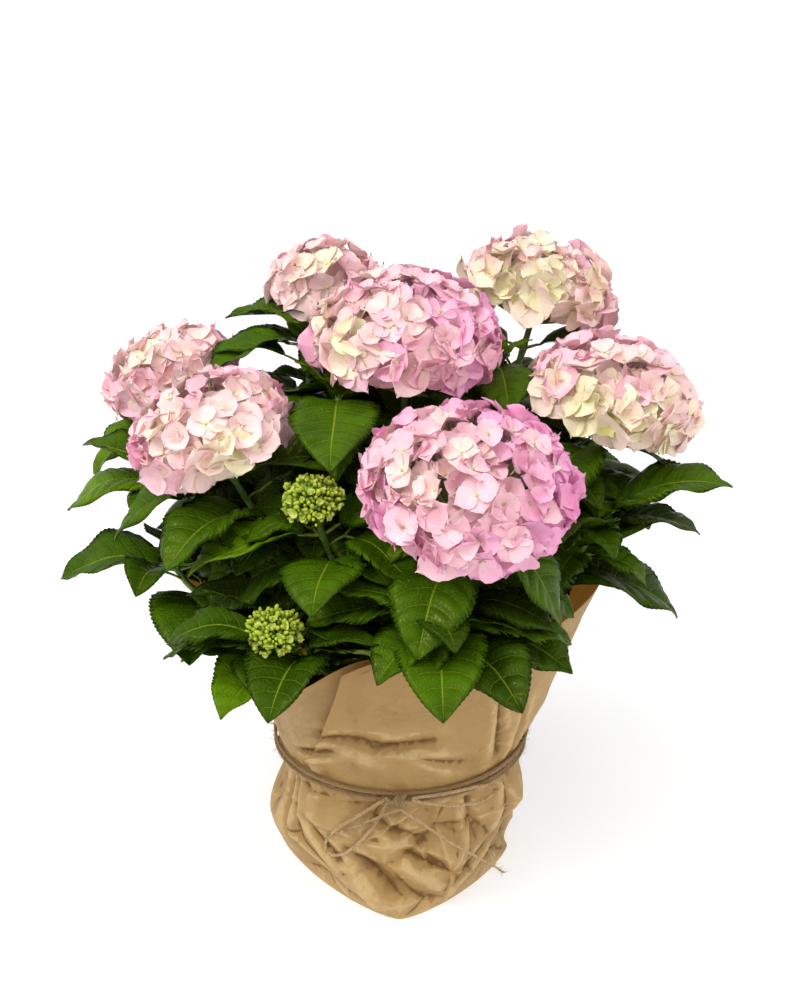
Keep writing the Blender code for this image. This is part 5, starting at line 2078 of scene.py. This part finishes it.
class HYDRANGEA_OT_twine(Piece):
    """Ties the jute strands, bow loops, knot and tails"""

    bl_idname = "hydrangea.twine"
    bl_label = "Twine"

    def execute(self, context):
        settings = context.scene.hydrangea_twine
        finish = jute_finish("jute_twine", settings.colour)
        # A lighter copy of the jute for the bow and tails: painted light.
        pale = jute_finish("jute_loose", settings.lit_loose_colour)
        paths = []
        for name, (rise, slope, node) in STRANDS.items():
            paths.append(band_path(WAIST_HEIGHT + rise, slope, STRAND_PROUD))
            yarns = twisted(paths[-1], TWINE_RADIUS * STRAND_SIZE, settings, name, closed=True)
            self.laid(name, yarns, finish, [node])
        for name, (run, measures, taper, nodes) in BOW.items():
            paths.append(run(*measures))
            yarns = twisted(paths[-1], TWINE_RADIUS * BOW_SIZE, settings, name, taper=taper)
            self.laid(name, yarns, pale, nodes)
        knot = []
        for turn in range(KNOT_COILS):
            size = TWINE_RADIUS * KNOT_SIZE
            knot += twisted(knot_coil(turn), size, settings, turn, closed=True)
        self.laid("bow_knot", knot, finish, ["twine_knot"])
        self.laid("twine_fibres", loose_fibres(paths, settings.hairs, "hairs"), finish, [])
        return {"FINISHED"}

    def laid(self, name, bars, finish, nodes):
        """A piece of those yarns or fibres."""
        heap = Heap()
        for bar in bars:
            heap.add(*bar)
        heap.piece(name, finish, "jute", nodes)


JOINT_SWELL = 0.30  # how much and how far a shoot swells at a leaf pair
JOINT_REACH = 0.012
BARK_LUMPS = 0.10
CROWN_RINGS = 15
CROWN_SIDES = 48
CROWN_LOBES = 7


class HYDRANGEA_OT_stems(Piece):
    """Grows the woody crown, the bare stems and the green shoots"""

    bl_idname = "hydrangea.stems"
    bl_label = "Stems"

    def execute(self, context):
        settings = context.scene.hydrangea_stems
        bark = bark_finish("stem_bark", settings.bark_colour)
        green = satin_finish("green_stem", settings.twig_colour, 0.6)
        seats = stem_seats()
        stems, twigs = Heap(), Heap()
        turns = np.arange(settings.sides) * math.tau / settings.sides
        for shoot in SHOOTS:
            path = finer(shoot_path(shoot, seats[shoot.name]), 5)
            shares = np.linspace(0, 1, len(path))
            radii = STEM_RADIUS + (TWIG_RADIUS - STEM_RADIUS) * shares
            for pair in range(LEAF_PAIRS):
                off = (shares - pair_share(shoot, pair)) / JOINT_REACH
                radii = radii * (1 + JOINT_SWELL * np.exp(-(off**2)))
            cut = int(len(path) * STEM_SHARE)
            wood = slice(cut + 1)
            lumps = [
                [1 + BARK_LUMPS * noise.noise(Vector(ring_spot(2, turn, share * 9))) for turn in turns]
                for share in shares[wood]
            ]
            stems.add(*tube(path[wood], radii[wood], settings.sides, uneven=np.array(lumps)))
            twigs.add(*tube(path[cut:], radii[cut:], settings.sides))
        stems.piece("woody_stems", bark, "bark", STEM_NODES)
        twigs.piece("green_shoots", green, "foliage", SHOOT_NODES)
        self.crown(bark)
        return {"FINISHED"}

    def crown(self, bark):
        """The knobbly foot, as wide as its solid, with a root flare at the soil."""
        bottom = SOIL_TOP + GAP
        points = [(0, 0, bottom)]
        for ring in range(CROWN_RINGS):
            share = ring / (CROWN_RINGS - 1)
            drawn_in = min(1, share * 2.6) ** 0.6
            flare = CROWN_FLARE_RADIUS + (CROWN_TOP_RADIUS - CROWN_FLARE_RADIUS) * drawn_in
            height = bottom + CROWN_HEIGHT * min(1, share * 1.25)
            inward = 1 if share < 0.8 else 1 - (share - 0.8) / 0.2 * 0.92
            for side in range(CROWN_SIDES):
                angle = math.tau * side / CROWN_SIDES
                knobs = noise.noise(Vector(ring_spot(3, angle, share * 4)))
                lobe = 0.05 * math.cos(angle * CROWN_LOBES + 0.6) + 0.05 * knobs
                radius = flare * inward * (0.96 + lobe * (1 - 0.5 * share))
                points.append(ring_spot(radius, angle, height))
        points.append((0, 0, bottom + CROWN_HEIGHT + 0.0005))
        heap = Heap()
        heap.add(points, poled_faces(CROWN_RINGS, CROWN_SIDES))
        heap.piece("crown_wood", bark, "bark", ["woody_crown"])


class HYDRANGEA_OT_leaves(Piece):
    """Grows every leaf with its teeth, veins and stalk"""

    bl_idname = "hydrangea.leaves"
    bl_label = "Leaves"

    def execute(self, context):
        settings = context.scene.hydrangea_leaves
        fine = Blade(settings, ROWS_PER_VEIN, FINE_COLUMNS)
        plain = Blade(settings, ROWS_PER_VEIN - 2, PLAIN_COLUMNS)
        main, inner = ({tone: Heap() for tone in LEAF_TONES} for _ in range(2))
        stalks, twigs = Heap(), Heap()

        def grow(heap, blade, leaf, rng, stalk_size, stalk_sides):
            heap.add(blade.shaped(leaf, settings, rng), blade.faces, blade.map, blade.sides)
            stalks.add(*tube(*stalk_of(leaf, stalk_size), stalk_sides))

        for shoot, pair, side, leaf in standing_leaves():
            rng = random.Random(f"{shoot.name} {pair} {side} blade")
            grow(main[leaf_tone(shoot, pair, leaf, rng)], fine, leaf, rng, 1, 6)
        if not stalks.count:
            raise RuntimeError("no leaf of the frame's shoots was found")
        seats = stem_seats()
        for shoot in SHOOTS:
            path = shoot_path(shoot, seats[shoot.name])
            rng = random.Random(shoot.name + " small blades")
            if shoot.kind == "tuft":
                for leaf in young_leaves(shoot, path):
                    grow(main["fresh"], fine, leaf, rng, 0.5, 6)
            for twig, leaves in side_leaves(shoot, path):
                twigs.add(*tube(finer(twig, 3), SIDE_TWIG_RADIUS, 6))
                for leaf in leaves:
                    grow(inner[leaf_tone(shoot, 2, leaf, rng)], plain, leaf, rng, 0.7, 5)
        colours = (settings.deep_colour, settings.mid_colour, settings.fresh_colour)
        for tone, colour in zip(LEAF_TONES, colours):
            finish = leaf_finish("leaf_" + tone, tuple(colour), settings)
            main[tone].piece("leaves_" + tone, finish, "foliage", SHOOT_NODES, "blade")
            if inner[tone].count:
                inner[tone].piece("side_leaves_" + tone, finish, "foliage", SHOOT_NODES, "blade")
        veins = satin_finish("leaf_stalk", settings.vein_colour, 0.7)
        stalks.piece("leaf_stalks", veins, "foliage", SHOOT_NODES)
        twigs.piece("side_twigs", veins, "foliage", SHOOT_NODES)
        return {"FINISHED"}


FLORET_STALK = (0.42, 0.46, 0.18)
FLORET_STALK_SHADE = (5 / 7, 18 / 23, 5 / 9)
BUD_SEPAL = ((0.30, 0.42, 0.03), (0.55, 0.62, 0.10))


class HYDRANGEA_OT_mopheads(Piece):
    """Opens the florets of every mophead, dealt out by tone"""

    bl_idname = "hydrangea.mopheads"
    bl_label = "Mopheads"

    def execute(self, context):
        settings = context.scene.hydrangea_flowers
        heaps = {tone: Heap() for tone in SEPAL_TONES}
        eyes, stalks = Heap(), Heap()
        blooms = [shoot for shoot in SHOOTS if shoot.kind == "bloom"]
        for shoot in blooms:
            mophead(shoot, settings, heaps, eyes, stalks)
        nodes = ["shoot_" + shoot.name for shoot in blooms]
        for tone, (eye, rim) in SEPAL_TONES.items():
            finish = sepal_finish("sepal_" + tone, eye, rim)
            heaps[tone].piece("sepals_" + tone, finish, "mophead", nodes, "sepal")
        finish = satin_finish("floret_eye", settings.eye_colour, 0.7)
        eyes.piece("floret_eyes", finish, "mophead", nodes)
        finish = satin_finish("floret_stalk", FLORET_STALK, FLORET_STALK_SHADE)
        stalks.piece("floret_stalks", finish, "mophead", nodes)
        return {"FINISHED"}


class HYDRANGEA_OT_buds(Piece):
    """Clusters the green beads of the two unopened heads"""

    bl_idname = "hydrangea.buds"
    bl_label = "Green buds"

    def execute(self, context):
        settings = context.scene.hydrangea_flowers
        beads, shaded_beads, florets, stalks = (Heap() for _ in range(4))
        buds = [shoot for shoot in SHOOTS if shoot.kind == "bud"]
        for shoot in buds:
            bud_head(shoot, beads, shaded_beads, florets, stalks)
        nodes = ["shoot_" + shoot.name for shoot in buds]
        light = satin_finish("bud_light", settings.bud_colour, 0.75)
        dark = satin_finish("bud_dark", settings.bud_dark_colour, 0.7)
        young = sepal_finish("bud_sepal", *BUD_SEPAL)
        beads.piece("bud_beads", light, "green_bud", nodes)
        shaded_beads.piece("bud_beads_inner", dark, "green_bud", nodes)
        florets.piece("bud_sepals", young, "green_bud", nodes, "sepal")
        stalks.piece("bud_stalks", dark, "green_bud", nodes)
        return {"FINISHED"}


class HYDRANGEA_PT_panel(bpy.types.Panel):
    """Lists the plant's pieces and their settings"""

    bl_label = "Potted Hydrangea"
    bl_idname = "HYDRANGEA_PT_panel"
    bl_space_type = "VIEW_3D"
    bl_region_type = "UI"
    bl_category = "Hydrangea"

    def draw(self, context):
        for operator in OPERATORS:
            self.layout.operator(operator.bl_idname)
        for name, group in SETTINGS.items():
            box = self.layout.box()
            for setting in group.__annotations__:
                box.prop(getattr(context.scene, name), setting)


OPERATORS = (
    HYDRANGEA_OT_stage,
    HYDRANGEA_OT_potting,
    HYDRANGEA_OT_wrap,
    HYDRANGEA_OT_twine,
    HYDRANGEA_OT_stems,
    HYDRANGEA_OT_leaves,
    HYDRANGEA_OT_mopheads,
    HYDRANGEA_OT_buds,
)


def register():
    for group in SETTINGS.values():
        bpy.utils.register_class(group)
    for name, group in SETTINGS.items():
        setattr(bpy.types.Scene, name, PointerProperty(type=group))
    for operator in OPERATORS:
        bpy.utils.register_class(operator)
    bpy.utils.register_class(HYDRANGEA_PT_panel)


def unregister():
    bpy.utils.unregister_class(HYDRANGEA_PT_panel)
    for operator in reversed(OPERATORS):
        bpy.utils.unregister_class(operator)
    for name, group in SETTINGS.items():
        delattr(bpy.types.Scene, name)
        bpy.utils.unregister_class(group)


def main():
    register()
    for operator in OPERATORS:
        family, name = operator.bl_idname.split(".")
        getattr(getattr(bpy.ops, family), name)()
    boxes = {"cad": CAD_BOX, "visual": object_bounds()}
    plain = {name: [list(corner) for corner in box] for name, box in boxes.items()}


if __name__ == "__main__":
    main()
